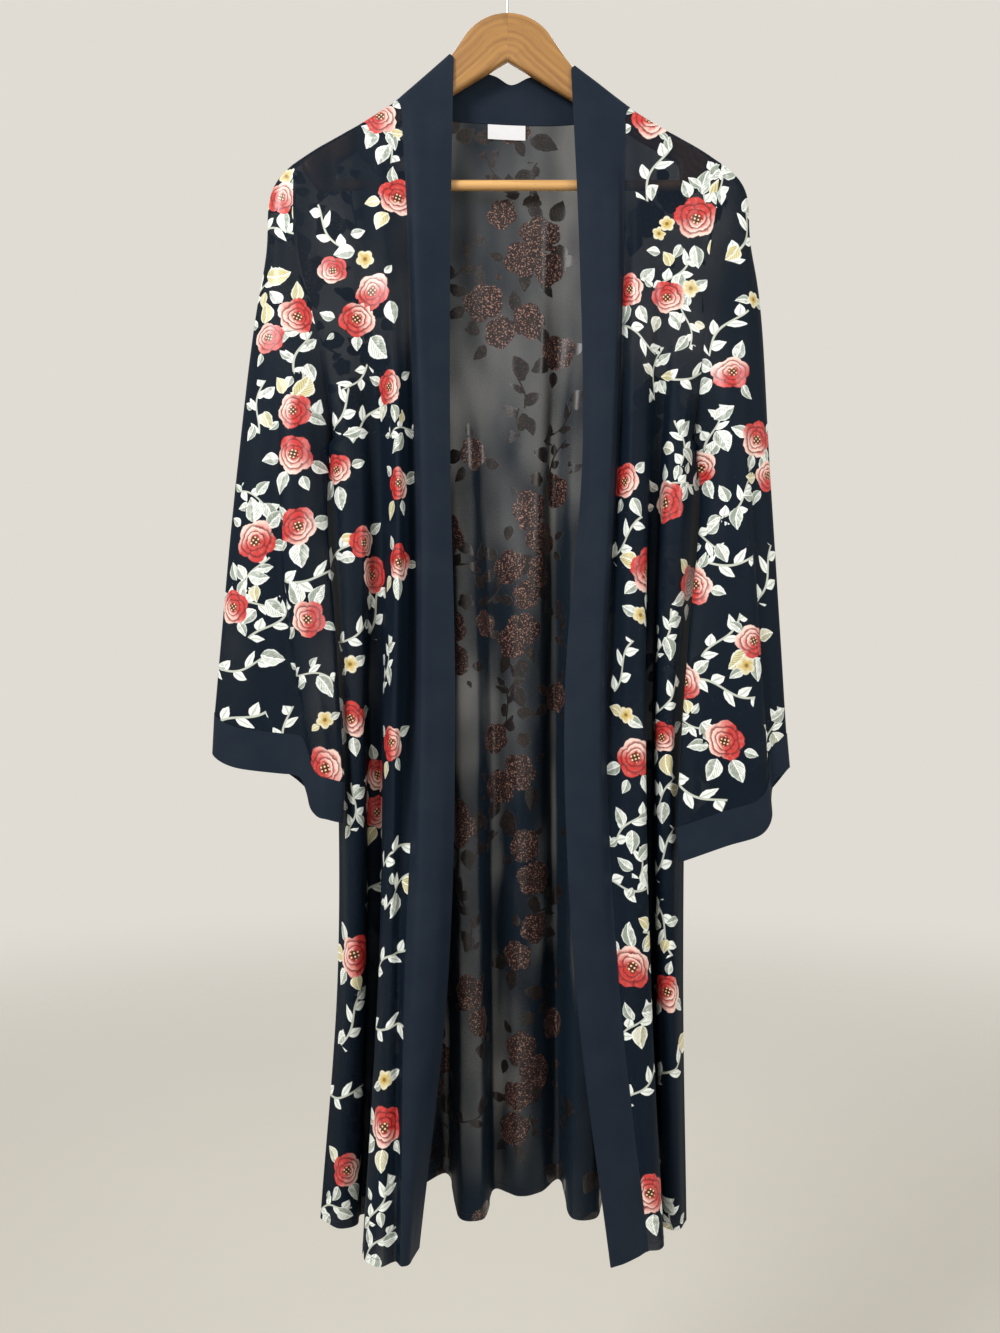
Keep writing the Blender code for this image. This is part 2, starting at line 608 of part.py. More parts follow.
def build_fronts():
    pieces = {}
    lines = [side_line(SIDE_LEFT, -1)] + [fold_line(fold, -1) for fold in LEFT_FOLDS]
    lines += [band_line(fold, LEFT_NECK, LEFT_FREE) for fold in LEFT_BAND]
    parts = [fold.parts for fold in LEFT_FOLDS + LEFT_BAND]
    seam = sum(parts[: len(LEFT_FOLDS)])
    panel, band = np.arange(seam + 1), np.arange(seam, sum(parts) + 1)
    made = build_front(lines, parts, panel, band, LEFT_NECK, LEFT_FREE)
    pieces["front_left"], pieces["front_band_left"] = made

    lines = [band_line(fold, RIGHT_NECK, RIGHT_FREE) for fold in RIGHT_BAND[::-1]]
    lines += [fold_line(fold, -1) for fold in RIGHT_FOLDS] + [side_line(SIDE_RIGHT, -1)]
    parts = [fold.parts for fold in RIGHT_BAND[:0:-1] + RIGHT_FOLDS] + [SIDE_PARTS]
    seam = sum(parts[: len(RIGHT_BAND)])
    panel, band = np.arange(seam, sum(parts) + 1), np.arange(seam + 1)
    made = build_front(lines, parts, panel, band, RIGHT_NECK, RIGHT_FREE)
    pieces["front_right"], pieces["front_band_right"] = made
    return pieces


def build_back():
    """The back and the neck band, and the back's columns at either end of the neck seam."""
    neck = neck_curve((LEFT_NECK, RIGHT_NECK), (LEFT_FREE, RIGHT_FREE), NECK_SEAM, NECK_PARTS, 0)
    behind = neck[WRAP_ROWS:-WRAP_ROWS]
    length = np.concatenate([[0.0], np.cumsum(np.linalg.norm(np.diff(behind, axis=0), axis=1))])
    first, last = NECK_FOLDS
    lines = [side_line(SIDE_LEFT, 1)]
    for k, fold in enumerate(BACK_FOLDS):
        if first <= k <= last:
            share = (k - first + 1) / (last - first + 2)
            start = smooth(length, behind, share * length[-1])[0]
            over = np.repeat(start[None], WRAP_ROWS, axis=0)
            lines.append(np.concatenate([over, fold_rows(start, fold)]))
        else:
            lines.append(fold_line(fold, 1))
    lines.append(side_line(SIDE_RIGHT, 1))
    parts = [fold.parts for fold in BACK_FOLDS] + [SIDE_PARTS + 1]
    grid = across_lines(np.array(lines), parts, straight=WRAP_ROWS)

    starts = np.cumsum([0] + parts)
    left_column, right_column = starts[first], starts[last + 2]
    shoulders = np.r_[0 : left_column + 1, right_column : grid.shape[1]]
    up = lay_on_arm(grid, shoulders, 1)
    inside = np.arange(left_column, right_column + 1)
    on_seam = smooth(length, behind, np.linspace(0, length[-1], len(inside)))
    shift = on_seam - grid[WRAP_ROWS, inside]
    for k, fade in enumerate(NECK_FADE):
        grid[WRAP_ROWS + k, inside] += shift * fade
    normals = surface_normals(grid)
    for column, beside in ((left_column, left_column - 1), (right_column, right_column + 1)):
        normals[:WRAP_ROWS, column] = normals[:WRAP_ROWS, beside]
    normals[0, shoulders] = -up

    edge = neck_curve((LEFT_NECK, RIGHT_NECK), (LEFT_FREE, RIGHT_FREE), NECK_EDGE, len(inside) - 1, 1)
    seam = np.concatenate([neck[:WRAP_ROWS], on_seam, neck[-WRAP_ROWS:]])
    band = np.array([lerp(seam, edge, share) for share in NECK_BAND_SHARES])
    leans = surface_normals(band)
    leans[:, 0] = band_base(LEFT_NECK, LEFT_FREE, 0)[1]
    leans[:, -1] = band_base(RIGHT_NECK, RIGHT_FREE, 0)[1]
    leans[0, [0, -1]] = arm_lean(np.array([LEFT_NECK, RIGHT_NECK]))
    return (grid, normals), (band, leans), left_column, right_column


def lean_together(normals, first, second, rows=slice(None)):
    """At a shared side seam both walls lean the same way. Their normals point to opposite sides there.

    first and second name a piece and its border.
    """
    mean = unit(normals[first[0]][rows, first[1]] - normals[second[0]][rows, second[1]])
    normals[first[0]][rows, first[1]] = mean
    normals[second[0]][rows, second[1]] = -mean


def build_cloth():
    pieces = build_fronts()
    pieces["back_panel"], pieces["neck_band"], left_column, right_column = build_back()
    grids = {name: piece[0] for name, piece in pieces.items()}
    normals = {name: piece[1] for name, piece in pieces.items()}
    under = WRAP_ROWS + UNDERARM_ROW

    lean_together(normals, ("front_left", 0), ("back_panel", 0), slice(under, None))
    lean_together(normals, ("front_right", -1), ("back_panel", -1), slice(under, None))

    rings = {}
    for side, column, beside, away in (("left", 0, 1, -1), ("right", -1, -2, 1)):
        edges = []
        for name in ("front_" + side, "back_panel"):
            grid = grids[name][: under + 1]
            edges.append((grid[:, column], grid[:, beside], normals[name][: under + 1, column]))
        rings[side] = armhole_ring(*edges, away)

    for name, column in (("front_left", 0), ("front_left", -1), ("front_right", 0), ("front_right", -1)):
        draw_in(grids[name], column=column)
    draw_in(grids["front_band_left"], column=0)
    draw_in(grids["front_band_right"], column=-1)
    draw_in(grids["back_panel"], column=0)
    draw_in(grids["back_panel"], column=-1)
    for name in ("front_left", "front_right", "front_band_left", "front_band_right"):
        draw_in(grids[name], row=0)
    back = grids["back_panel"]
    inner = np.arange(left_column, right_column + 1)
    on_seam = inward(back[WRAP_ROWS, inner], back[WRAP_ROWS + 1, inner])[1:-1]
    at_neck = [(left_column, left_column - 1), (right_column, right_column + 1)]
    over = back[: WRAP_ROWS + 1].copy()
    beside = [inward(over[:, here], over[:, next_to]) for here, next_to in at_neck]
    outer = np.r_[0 : left_column + 1, right_column : back.shape[1]]
    back[0, outer] += inward(back[0, outer], back[1, outer]) * SEAM_GAP / 2
    back[WRAP_ROWS, inner[1:-1]] += on_seam * SEAM_GAP / 2
    for (here, _), way in zip(at_neck, beside):
        back[: WRAP_ROWS + 1, here] += way * SEAM_GAP / 2
    neck = grids["neck_band"]
    draw_in(neck, row=0)
    draw_in(neck, column=0)
    draw_in(neck, column=-1)

    def over_neck(row, column):
        return row < WRAP_ROWS and left_column <= column < right_column

    wall("back_panel", back, normals["back_panel"], MESH_WALL, MESH_CLOTH, missing=over_neck)
    for name in ("front_left", "front_right"):
        wall(name, grids[name], normals[name], MESH_WALL, MESH_CLOTH)
    for name in ("front_band_left", "front_band_right", "neck_band"):
        wall(name, grids[name], normals[name], DOUBLE_WALL, PLAIN_CLOTH)
    build_sleeve("left", rings["left"], LEFT_SLEEVE, LEFT_CUFF)
    build_sleeve("right", rings["right"], RIGHT_SLEEVE, RIGHT_CUFF)
    build_label(neck[0], normals["neck_band"][0])


# Sleeves

def thirds(points):
    """Each step between these points in three, so that a ring keeps to the panel's straight edges."""
    parts = [points[0]]
    for a, b in zip(points[:-1], points[1:]):
        parts += [lerp(a, b, 1 / 3), lerp(a, b, 2 / 3), b]
    return np.array(parts)


def armhole_ring(front, back, side):
    """Points and leans round an armhole, from the shoulder down the front and up the back.

    front and back each hold the panel's edge, the column beside it and the edge's leans. The ring lies a
    seam's gap from the edge, and at the underarm it passes outside the side seam and faces the body.
    """
    under_arm = unit(np.array([-side, 0.0, -0.3]))
    halves = []
    for (edge, beside, lean), facing in ((front, -1.0), (back, 1.0)):
        outward = lean * np.sign(lean @ np.array([0.3 * side, facing, 0.5]))[:, None]
        outward[-1] = under_arm
        away = unit(edge - beside) * SEAM_GAP / 2
        points = np.concatenate([(edge + away)[:WRAP_ROWS], thirds((edge + away)[WRAP_ROWS:])])
        leans = np.concatenate([outward[:WRAP_ROWS], thirds(outward[WRAP_ROWS:])])
        share = np.linspace(0, 1, len(points))[:, None]
        clear = np.array([side, 0, 0.3]) * (MESH_WALL + SEAM_GAP)
        halves.append((points + clear * np.clip(share * 2 - 1, 0, 1), unit(leans)))
    (front_points, front_out), (back_points, back_out) = halves
    top = (front_points[0] + back_points[0]) / 2
    bottom = (front_points[-1] + back_points[-1]) / 2
    points = np.concatenate([[top], front_points[1:-1], [bottom], back_points[1:-1][::-1], [top]])
    upward = unit(front_out[0] + back_out[0])
    leans = np.concatenate([[upward], front_out[1:-1], [under_arm], back_out[1:-1][::-1], [upward]])
    return points, leans


def head_swell(shares):
    """The share of the sleeve head's swell at each row and place on the ring.

    Down the upper arm it is 256/27 t (1 - t)^3, which is 1 at a quarter of the way. Round the ring it is the
    square of the cosine of the way from the shoulder, and nothing on the underarm's half.
    """
    down = np.clip(np.array(shares) / SLEEVE_KNOTS[1], 0, 1)
    turn = np.cos(np.arange(RING_PARTS + 1) * 2 * np.pi / RING_PARTS)
    return np.outer(256 / 27 * down * (1 - down) ** 3, np.clip(turn, 0, 1) ** 2)


def build_sleeve(side, ring, lines, cuff):
    """A sleeve and its cuff: each line is a smooth path from the ring, and a smooth loop joins the lines."""
    points, leans = ring
    at = [line.ring for line in lines]
    sections = [points]
    for level in ("upper", "elbow", "cuff"):
        place = np.array([getattr(line, level) for line in lines]) * MM * np.array([1, 1, -1])
        knots = [at[-2] - RING_PARTS, at[-1] - RING_PARTS] + at + [RING_PARTS, at[1] + RING_PARTS]
        values = np.concatenate([place[-2:], place, place[:2]])
        sections.append(smooth(knots, values, np.arange(RING_PARTS + 1)))
    sections = np.array(sections)
    shape = sections.shape
    rows = smooth(SLEEVE_KNOTS, sections.reshape(shape[0], -1), SLEEVE_ROWS)
    grid = rows.reshape(len(SLEEVE_ROWS), *shape[1:])
    grid[..., 0] += SLEEVE_HEAD[side] * MM * head_swell(SLEEVE_ROWS)
    edge = grid[-1] + np.array(cuff) * MM
    whole = np.concatenate([grid, edge[None]])
    normals = surface_normals(whole, closed=True)
    first = np.sign(np.sum(normals[0] * leans, axis=-1).mean())
    normals[0] = leans * first
    seam = np.concatenate([grid[-1, -2:-1], grid[-1], grid[-1, 1:2]])
    square = unit(np.cross(normals[-2], seam[2:] - seam[:-2]))
    square *= np.sign(np.sum(square * (edge - grid[-1]), axis=-1, keepdims=True)) * SEAM_GAP / 2
    sleeve = grid.copy()
    sleeve[-1] -= square
    wall("sleeve_" + side, sleeve, normals[:-1], MESH_WALL, MESH_CLOTH, closed=True)
    band = np.array([grid[-1], lerp(grid[-1], edge, 0.5), edge])
    band[0] += square
    turned = surface_normals(band, closed=True)
    turned[0] = normals[-2]
    wall("cuff_" + side, band, turned, CUFF_WALL, PLAIN_CLOTH, closed=True)


def build_label(seam, leans):
    """A bare label on the back, under the neck seam, on the seam's own curve moved out toward the front."""
    order = np.argsort(seam[:, 0])
    across = np.linspace(LABEL_LEFT, LABEL_RIGHT, 7)
    top = np.stack([np.interp(across, seam[order, 0], seam[order, k]) for k in range(3)], axis=1)
    out = (MESH_WALL + LABEL_WALL) / 2 + SEAM_GAP
    start = top + np.array([0.0, -out, -LABEL_DROP])
    foot = start + np.array([0.0, -1.5 * MM, -LABEL_HIGH])
    grid = np.array([lerp(start, foot, t) for t in (0, 0.5, 1)])
    wall("label", grid, surface_normals(grid), LABEL_WALL, LABEL_CLOTH)


clear_scene()
build_hanger()
build_cloth()
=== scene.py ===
"""Looks of a long sheer kimono coat that hangs open on a wooden hanger.

Metres, +Z up, +X to the right of someone facing the open front, which looks along -Y. Left and right are
the sides seen from the front. Every cloth piece is a thin shell on a smooth grid, and its print lies on the
cloth's own coordinates: across along the cloth, and down.
"""

from dataclasses import dataclass, field
from enum import Enum
import logging
import math
from typing import Callable, NamedTuple, Sequence

import bpy
import numpy as np
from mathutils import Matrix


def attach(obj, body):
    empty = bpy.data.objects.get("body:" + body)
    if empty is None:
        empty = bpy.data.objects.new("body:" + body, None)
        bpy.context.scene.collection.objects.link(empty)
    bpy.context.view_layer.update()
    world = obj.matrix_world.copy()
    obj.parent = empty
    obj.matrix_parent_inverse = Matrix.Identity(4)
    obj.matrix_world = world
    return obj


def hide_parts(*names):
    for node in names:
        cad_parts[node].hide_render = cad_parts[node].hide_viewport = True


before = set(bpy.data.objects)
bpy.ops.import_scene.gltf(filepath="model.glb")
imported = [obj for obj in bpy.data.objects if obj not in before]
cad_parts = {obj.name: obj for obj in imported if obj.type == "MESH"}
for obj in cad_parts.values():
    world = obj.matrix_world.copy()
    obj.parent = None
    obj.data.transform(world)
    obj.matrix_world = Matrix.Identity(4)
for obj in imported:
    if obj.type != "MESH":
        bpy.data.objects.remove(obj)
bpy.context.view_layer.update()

log = logging.getLogger("kimono_coat")
MM = 0.001
Array = np.ndarray
Colour = tuple[float, float, float]
Marks = dict[str, list[tuple[float, ...]]]
Tree = bpy.types.NodeTree
Socket = bpy.types.NodeSocket
Node = bpy.types.Node
Material = bpy.types.Material


# The cloth's lines, in millimetres

class Fold(NamedTuple):
    """A line down the cloth on the top or the bottom of a fold: across and back at each level."""

    top: float
    yoke: tuple[float, float]
    chest: tuple[float, float]
    waist: tuple[float, float]
    hip: tuple[float, float]
    hem: tuple[float, float, float]
    parts: int


class Line(NamedTuple):
    """A line down a sleeve, from a place on the armhole's ring: across, back and below the hook."""

    ring: int
    upper: tuple[float, float, float]
    elbow: tuple[float, float, float]
    cuff: tuple[float, float, float]


SIDE_LEFT = Fold(-213, (-210, 0), (-190, 18), (-174, 16), (-171, 11), (-191, 28, 1277), 0)
SIDE_RIGHT = Fold(211, (200, 0), (199, 18), (182, 16), (177, 12), (182, 24, 1277), 3)
LEFT_FOLDS = (
    Fold(-199, (-187, -14), (-167, -12), (-155, -13), (-154, -12), (-168, 8, 1279), 3),
    Fold(-184, (-171, -16), (-148, -12), (-145, -8), (-143, -4), (-153, 16, 1279), 3),
    Fold(-172, (-158, -17), (-136, 0), (-139, 14), (-142, 27), (-151, 37, 1277), 3),
    Fold(-163, (-149, -17), (-128, 0), (-130, 14), (-132, 27), (-141, 37, 1277), 2),
    Fold(-148, (-133, -18), (-116, -18), (-120, -20), (-125, -34), (-137, -58, 1280), 5),
    Fold(-132, (-119, -20), (-108, -28), (-110, -34), (-114, -50), (-121, -72, 1281), 3),
    Fold(-120, (-107, -16), (-100, -16), (-101, -18), (-106, -43), (-107, -62, 1280), 3),
    Fold(-109, (-98, -12), (-93, -10), (-91, -13), (-99, -51), (-101, -72, 1280), 2),
)
LEFT_BAND = (
    Fold(0.22, (-92, -20), (-85, -25), (-84, -31), (-87, -60), (-96, -68, 1281), 2),
    Fold(0.60, (-76, -19), (-70, -25), (-68, -30), (-71, -55), (-92, -53, 1281), 2),
    Fold(1.00, (-57, -14), (-57, -20), (-52, -24), (-59, -38), (-87, -33, 1280), 2),
)
RIGHT_FOLDS = (
    Fold(120, (115, -13), (109, -11), (97, -15), (108, -34), (136, -40, 1280), 2),
    Fold(131, (126, -20), (121, -26), (118, -30), (122, -37), (146, -38, 1280), 2),
    Fold(146, (141, -19), (135, -20), (133, -26), (138, -28), (152, -30, 1280), 2),
    Fold(160, (153, -17), (146, 0), (139, 13), (141, 25), (146, 30, 1277), 4),
    Fold(168, (161, -17), (153, 0), (146, 13), (148, 25), (154, 30, 1277), 2),
    Fold(180, (172, -16), (159, -15), (149, -10), (151, -4), (158, 11, 1279), 3),
    Fold(196, (186, -13), (172, -18), (159, -18), (162, -12), (170, 4, 1279), 3),
)
RIGHT_BAND = (
    Fold(0.22, (108, -21), (101, -26), (89, -32), (94, -41), (124, -51, 1281), 0),
    Fold(0.60, (91, -20), (86, -25), (75, -29), (79, -49), (111, -63, 1281), 2),
    Fold(1.00, (71, -14), (74, -19), (56, -22), (65, -54), (97, -75, 1280), 2),
)
BACK_FOLDS = (
    Fold(-196, (-190, 12), (-158, 24), (-157, 33), (-159, 42), (-166, 57, 1270), 4),
    Fold(-168, (-164, 16), (-138, 17), (-136, 30), (-137, 45), (-141, 55, 1264), 4),
    Fold(-138, (-138, 14), (-113, 26), (-112, 37), (-112, 52), (-114, 66, 1254), 4),
    Fold(-109, (-112, 17), (-89, 14), (-87, 19), (-88, 26), (-91, 36, 1247), 4),
    Fold(-82, (-86, 16), (-68, 25), (-65, 38), (-63, 52), (-64, 66, 1246), 5),
    Fold(-61, (-64, 19), (-52, 15), (-47, 15), (-46, 15), (-45, 9, 1271), 4),
    Fold(-53, (-56, 19), (-41, 14), (-32, 15), (-30, 15), (-26, 10, 1271), 3),
    Fold(-26, (-34, 16), (-22, 27), (-15, 38), (-14, 50), (-12, 61, 1260), 5),
    Fold(2, (4, 17), (12, 16), (12, 22), (12, 31), (12, 46, 1262), 5),
    Fold(32, (33, 18), (33, 19), (33, 27), (34, 38), (35, 53, 1260), 3),
    Fold(62, (55, 25), (47, 37), (48, 46), (50, 57), (53, 66, 1252), 3),
    Fold(88, (80, 18), (68, 18), (66, 20), (67, 19), (67, 11, 1271), 5),
    Fold(96, (88, 18), (79, 17), (79, 19), (82, 19), (87, 12, 1271), 3),
    Fold(120, (113, 19), (98, 31), (96, 43), (101, 51), (105, 64, 1262), 5),
    Fold(150, (140, 15), (123, 17), (120, 26), (124, 33), (127, 40, 1262), 4),
    Fold(181, (168, 15), (149, 27), (147, 38), (150, 47), (153, 59, 1268), 4),
)
NECK_FOLDS = (4, 12)
NECK_SEAM = (
    (-88, 12.0, 157), (-57, 14.5, 162), (-20, 17.0, 164),
    (17, 17.5, 165.5), (55, 16.0, 166), (95, 12.5, 163),
)
NECK_EDGE = (
    (-46, 11.5, 111), (-30, 13.5, 113), (-12, 15.5, 117),
    (3, 16.5, 125), (22, 15.5, 118), (48, 12.0, 116),
)
LEVELS = (300, 500, 750, 1020)
ROW_SHARES = (0.0, 0.06, 0.12, 0.185, 0.255, 0.335, 0.42, 0.505, 0.59, 0.675, 0.76, 0.845, 0.925, 1.0)
UNDERARM_SHARE = 4
UNDERARM_DEPTH = 6.0
# Share of the way down, across at the left and the right, and back on the front and the back
ARMHOLE = (
    (0.00, -213, 211, -8, 8),
    (0.17, -213, 206, -10, 10),
    (0.32, -210, 200, -12, 13),
    (0.53, -194, 196, -12, 16),
    (0.72, -184, 193, -8, 15),
    (0.87, -179, 190, -2, 12),
    (1.00, -175, 186, 5, 7),
)
LEFT_SLEEVE = (
    Line(0, (-248, 4, 337), (-272, 6, 527), (-293, 6, 759)),
    Line(4, (-238, -12, 372), (-256, -10, 552), (-264, -9, 775)),
    Line(6, (-231, -15, 398), (-238, -11, 583), (-222, -9, 780)),
    Line(7, (-227, -16, 410), (-226, -11, 597), (-210, -10, 781)),
    Line(8, (-223, -17, 421), (-222, -15, 606), (-202, -13, 785)),
    Line(9, (-219, -18, 432), (-220, -19, 613), (-196, -17, 799)),
    Line(10, (-215, -19, 443), (-217, -23, 620), (-192, -22, 812)),
    Line(11, (-210, -20, 456), (-211, -26, 630), (-186, -27, 819)),
    Line(13, (-197, -18, 498), (-197, -26, 660), (-174, -31, 823)),
    Line(15, (-181, -4, 556), (-171, -15, 690), (-161, -25, 827)),
    Line(18, (-194, 10, 520), (-188, 4, 675), (-172, -9, 823)),
    Line(21, (-209, 16, 470), (-204, 14, 648), (-183, 8, 815)),
    Line(24, (-226, 17, 415), (-230, 17, 607), (-217, 17, 784)),
    Line(27, (-241, 13, 362), (-258, 14, 555), (-264, 15, 764)),
)
RIGHT_SLEEVE = (
    Line(0, (249, 4, 325), (263, 6, 527), (278, 6, 783)),
    Line(4, (241, -11, 350), (256, -6, 543), (269, -6, 788)),
    Line(6, (236, -15, 372), (250, -9, 560), (263, -8, 793)),
    Line(7, (234, -16, 383), (246, -11, 571), (259, -9, 802)),
    Line(8, (231, -17, 394), (243, -14, 580), (257, -14, 814)),
    Line(9, (228, -18, 405), (242, -18, 590), (257, -19, 826)),
    Line(10, (225, -19, 416), (239, -22, 598), (253, -24, 836)),
    Line(11, (221, -20, 430), (233, -25, 608), (245, -28, 844)),
    Line(13, (208, -19, 477), (214, -27, 648), (210, -31, 855)),
    Line(15, (193, -4, 548), (180, -18, 690), (168, -29, 870)),
    Line(18, (205, 10, 510), (197, 2, 675), (181, -9, 866)),
    Line(21, (219, 16, 458), (214, 14, 643), (195, 9, 855)),
    Line(24, (233, 17, 402), (236, 17, 600), (222, 17, 836)),
    Line(27, (243, 13, 352), (253, 14, 552), (254, 15, 814)),
)
SLEEVE_KNOTS = (0.0, 0.30, 0.62, 1.0)
SLEEVE_HEAD = {"left": -13.5, "right": 15.0}
RING_PARTS = 30
OVER_ROWS = 12  # fine rows over the arm
FINE_ROWS = 12  # fine rows in each step of ROW_SHARES
RING_FINE = 4  # fine points in each of a ring's parts
SEEN_BACK = 0.15  # a normal that points back by less than this still shows from the front
HIDDEN_COST = 4000.0  # square millimetres added to the distance of a point that is turned away
LEAF_SIZES = (0.60, 1.08)  # least and most growth of a leaf
OTHER_SIZES = (0.92, 1.12)  # the same of any other motif
FILL_PITCH = (0.078, 0.098)  # metres across and down between filled-in sprays
FILL_START = 0.02  # metres from the cloth's edge to the first column of them
FILL_DROP = 0.05  # metres that every second column hangs lower
FILL_SHIFT = 0.010  # metres that a filled-in spray is moved at most
FILL_GAP = 0.062  # metres that it keeps from a rose
FILL_REACH = 0.01  # metres within which a point of a tube must lie
FILL_CLEAR = 0.05  # metres that it keeps on a tube from the closing line and the front
NOWHERE = 9.0  # a place far from any motif
FADE_ROWS = 14.0  # rows over which creases fade in from the top
FADE_COLUMNS = 6.0  # columns over which they fade in from the sides
HEMMED = ("front_left", "front_right", "back_panel")


# The print

class Motif(Enum):
    """What the print is made of. The value is the name of the layer on the cloth."""

    ROSE = "roses"
    BLOOM = "blooms"
    LEAF = "leaves"
    SPRIG = "sprigs"


class Mark(NamedTuple):
    """One motif of a spray: across and down from its main rose, turn in degrees, and half its length."""

    motif: Motif
    across: float
    down: float
    turn: float
    half: float


def motifs(*rows: tuple) -> tuple[Mark, ...]:
    """Marks from rows that begin with the motif's name."""
    return tuple(Mark(Motif[name], *rest) for name, *rest in rows)


class Spray(Enum):
    """The sprays that the print repeats."""

    TRIO = motifs(
        ("ROSE", 0, 0, 0, 20), ("ROSE", -16, 26, 100, 19), ("ROSE", -39, -21, 220, 16),
        ("BLOOM", -7, -32, 60, 9), ("LEAF", -28, -39, 170, 10), ("LEAF", -45, 23, 200, 11),
        ("LEAF", 22, 22, 75, 13), ("LEAF", -16, 50, 95, 11), ("LEAF", 8, 56, 45, 15),
        ("LEAF", 17, -21, -50, 8), ("LEAF", -42, 44, 140, 6), ("LEAF", -14, -58, -15, 12),
        ("SPRIG", -42, -62, 235, 26), ("SPRIG", -22, 88, 130, 24),
    )
    OPEN = motifs(
        ("ROSE", 0, 0, 150, 23), ("BLOOM", -30, 6, 10, 9), ("BLOOM", -38, 16, 80, 8),
        ("LEAF", 8, -38, -75, 14), ("LEAF", 25, -32, -50, 14), ("LEAF", -10, -30, -110, 11),
        ("LEAF", -20, 34, 120, 12), ("LEAF", 0, 38, 80, 12), ("LEAF", 20, 30, 50, 11),
        ("LEAF", -44, 34, 185, 10),
    )
    LONE = motifs(
        ("ROSE", 0, 0, 150, 21), ("LEAF", -26, 4, 175, 11), ("LEAF", -12, 28, 115, 12),
        ("LEAF", 12, 29, 65, 12), ("LEAF", 26, 12, 20, 10),
    )
    PAIR = motifs(
        ("ROSE", 0, 0, 40, 17), ("ROSE", 13, 31, 260, 18), ("LEAF", -19, 15, 170, 10),
        ("LEAF", 10, 58, 100, 12), ("LEAF", 33, 50, 40, 11), ("LEAF", 18, -16, -45, 9),
    )
    DROP = motifs(
        ("ROSE", 0, 0, 90, 18), ("LEAF", -9, 24, 115, 12), ("LEAF", 12, 26, 65, 12),
        ("LEAF", -22, -7, 200, 10), ("LEAF", 20, -14, -40, 10),
    )
    BUD = motifs(
        ("BLOOM", 0, 0, 0, 9), ("LEAF", 11, -4, -30, 9), ("LEAF", -10, 8, 150, 8),
    )
    BRANCH = motifs(
        ("SPRIG", 2, 4, -78, 25), ("LEAF", 12, -10, -35, 12), ("LEAF", -12, 2, 215, 9),
        ("LEAF", 10, 18, 65, 12), ("LEAF", -8, 30, 120, 8),
    )
    SHOOT = motifs(
        ("SPRIG", 0, 0, -70, 30), ("LEAF", 10, -32, -50, 12), ("LEAF", -10, 20, 130, 10),
    )
    TWIG = motifs(
        ("SPRIG", 0, 0, -65, 30),
    )


class Spot(NamedTuple):
    """Where a spray's main rose shows from the front: millimetres across and down the view, and its turn."""

    spray: Spray
    across: float
    down: float
    turn: float = 0.0
    mirrored: bool = False


def placed(*rows: tuple) -> tuple[Spot, ...]:
    """Spots from rows that begin with the spray's name."""
    return tuple(Spot(Spray[name], *rest) for name, *rest in rows)


FRONT_LEFT_SPOTS = placed(
    ("TRIO", 372, 292), ("DROP", 397, 198, 60), ("DROP", 380, 116, 0), ("BRANCH", 388, 140, 150),
    ("TWIG", 344, 402, 10), ("DROP", 391, 388, 5), ("SHOOT", 368, 420, 30), ("BRANCH", 404, 424, 60),
    ("DROP", 337, 470, 20), ("DROP", 398, 482, 0, True), ("PAIR", 364, 543), ("SHOOT", 334, 560, 30),
    ("DROP", 398, 560, 20, True), ("TWIG", 352, 630, 40), ("TWIG", 376, 610, 0), ("BUD", 350, 664),
    ("BRANCH", 386, 656, 0), ("DROP", 350, 719, 20), ("DROP", 391, 742, -10, True),
    ("DROP", 378, 776, 60), ("DROP", 378, 812, 0), ("BRANCH", 350, 800, 0), ("TWIG", 398, 850, 40),
    ("TWIG", 372, 890, 20), ("BRANCH", 398, 884, 40), ("LONE", 354, 952, 60), ("TWIG", 386, 966, 30),
    ("SHOOT", 350, 1024, 10), ("TWIG", 386, 1030, 70), ("BUD", 385, 1076, 0), ("TWIG", 342, 1092, 60),
    ("LONE", 383, 1130, 20), ("DROP", 347, 1168, 0, True), ("BRANCH", 378, 1196, 10),
    ("BRANCH", 334, 1206, 60), ("BRANCH", 376, 1244, 30),
)
FRONT_RIGHT_SPOTS = placed(
    ("OPEN", 696, 221), ("SHOOT", 656, 172, 40, True), ("DROP", 655, 112, 90), ("DROP", 629, 292, 0),
    ("DROP", 667, 298, 0, True), ("BUD", 690, 290, 0), ("TWIG", 640, 340, 90), ("BRANCH", 655, 368, 0),
    ("SHOOT", 690, 372, 60), ("BRANCH", 676, 442, -20), ("LONE", 666, 500, 150), ("DROP", 625, 478, 0),
    ("BRANCH", 690, 478, 60), ("TWIG", 626, 540, 30), ("LONE", 647, 570, 30), ("DROP", 690, 582, 30),
    ("BRANCH", 664, 628, 10), ("BUD", 640, 616, 60), ("TWIG", 624, 668, 10), ("BUD", 626, 716, 60),
    ("LONE", 634, 757, 0, True), ("DROP", 660, 740, 10), ("BRANCH", 632, 820, 30), ("TWIG", 664, 850, 10),
    ("TWIG", 630, 886, 70), ("BRANCH", 648, 930, 100), ("LONE", 633, 970, 200),
    ("DROP", 668, 992, 60, True), ("BRANCH", 640, 1016, 30), ("SHOOT", 670, 1068, 30),
    ("TWIG", 640, 1090, 20), ("BRANCH", 655, 1152, 100), ("LONE", 650, 1192, 20),
    ("BRANCH", 676, 1216, 10, True), ("BRANCH", 706, 182, 0), ("BRANCH", 680, 262, 30),
    ("BRANCH", 690, 330, 160), ("BRANCH", 664, 790, 30), ("BRANCH", 636, 860, 0),
    ("BRANCH", 668, 930, 140), ("TWIG", 664, 700, 10),
)
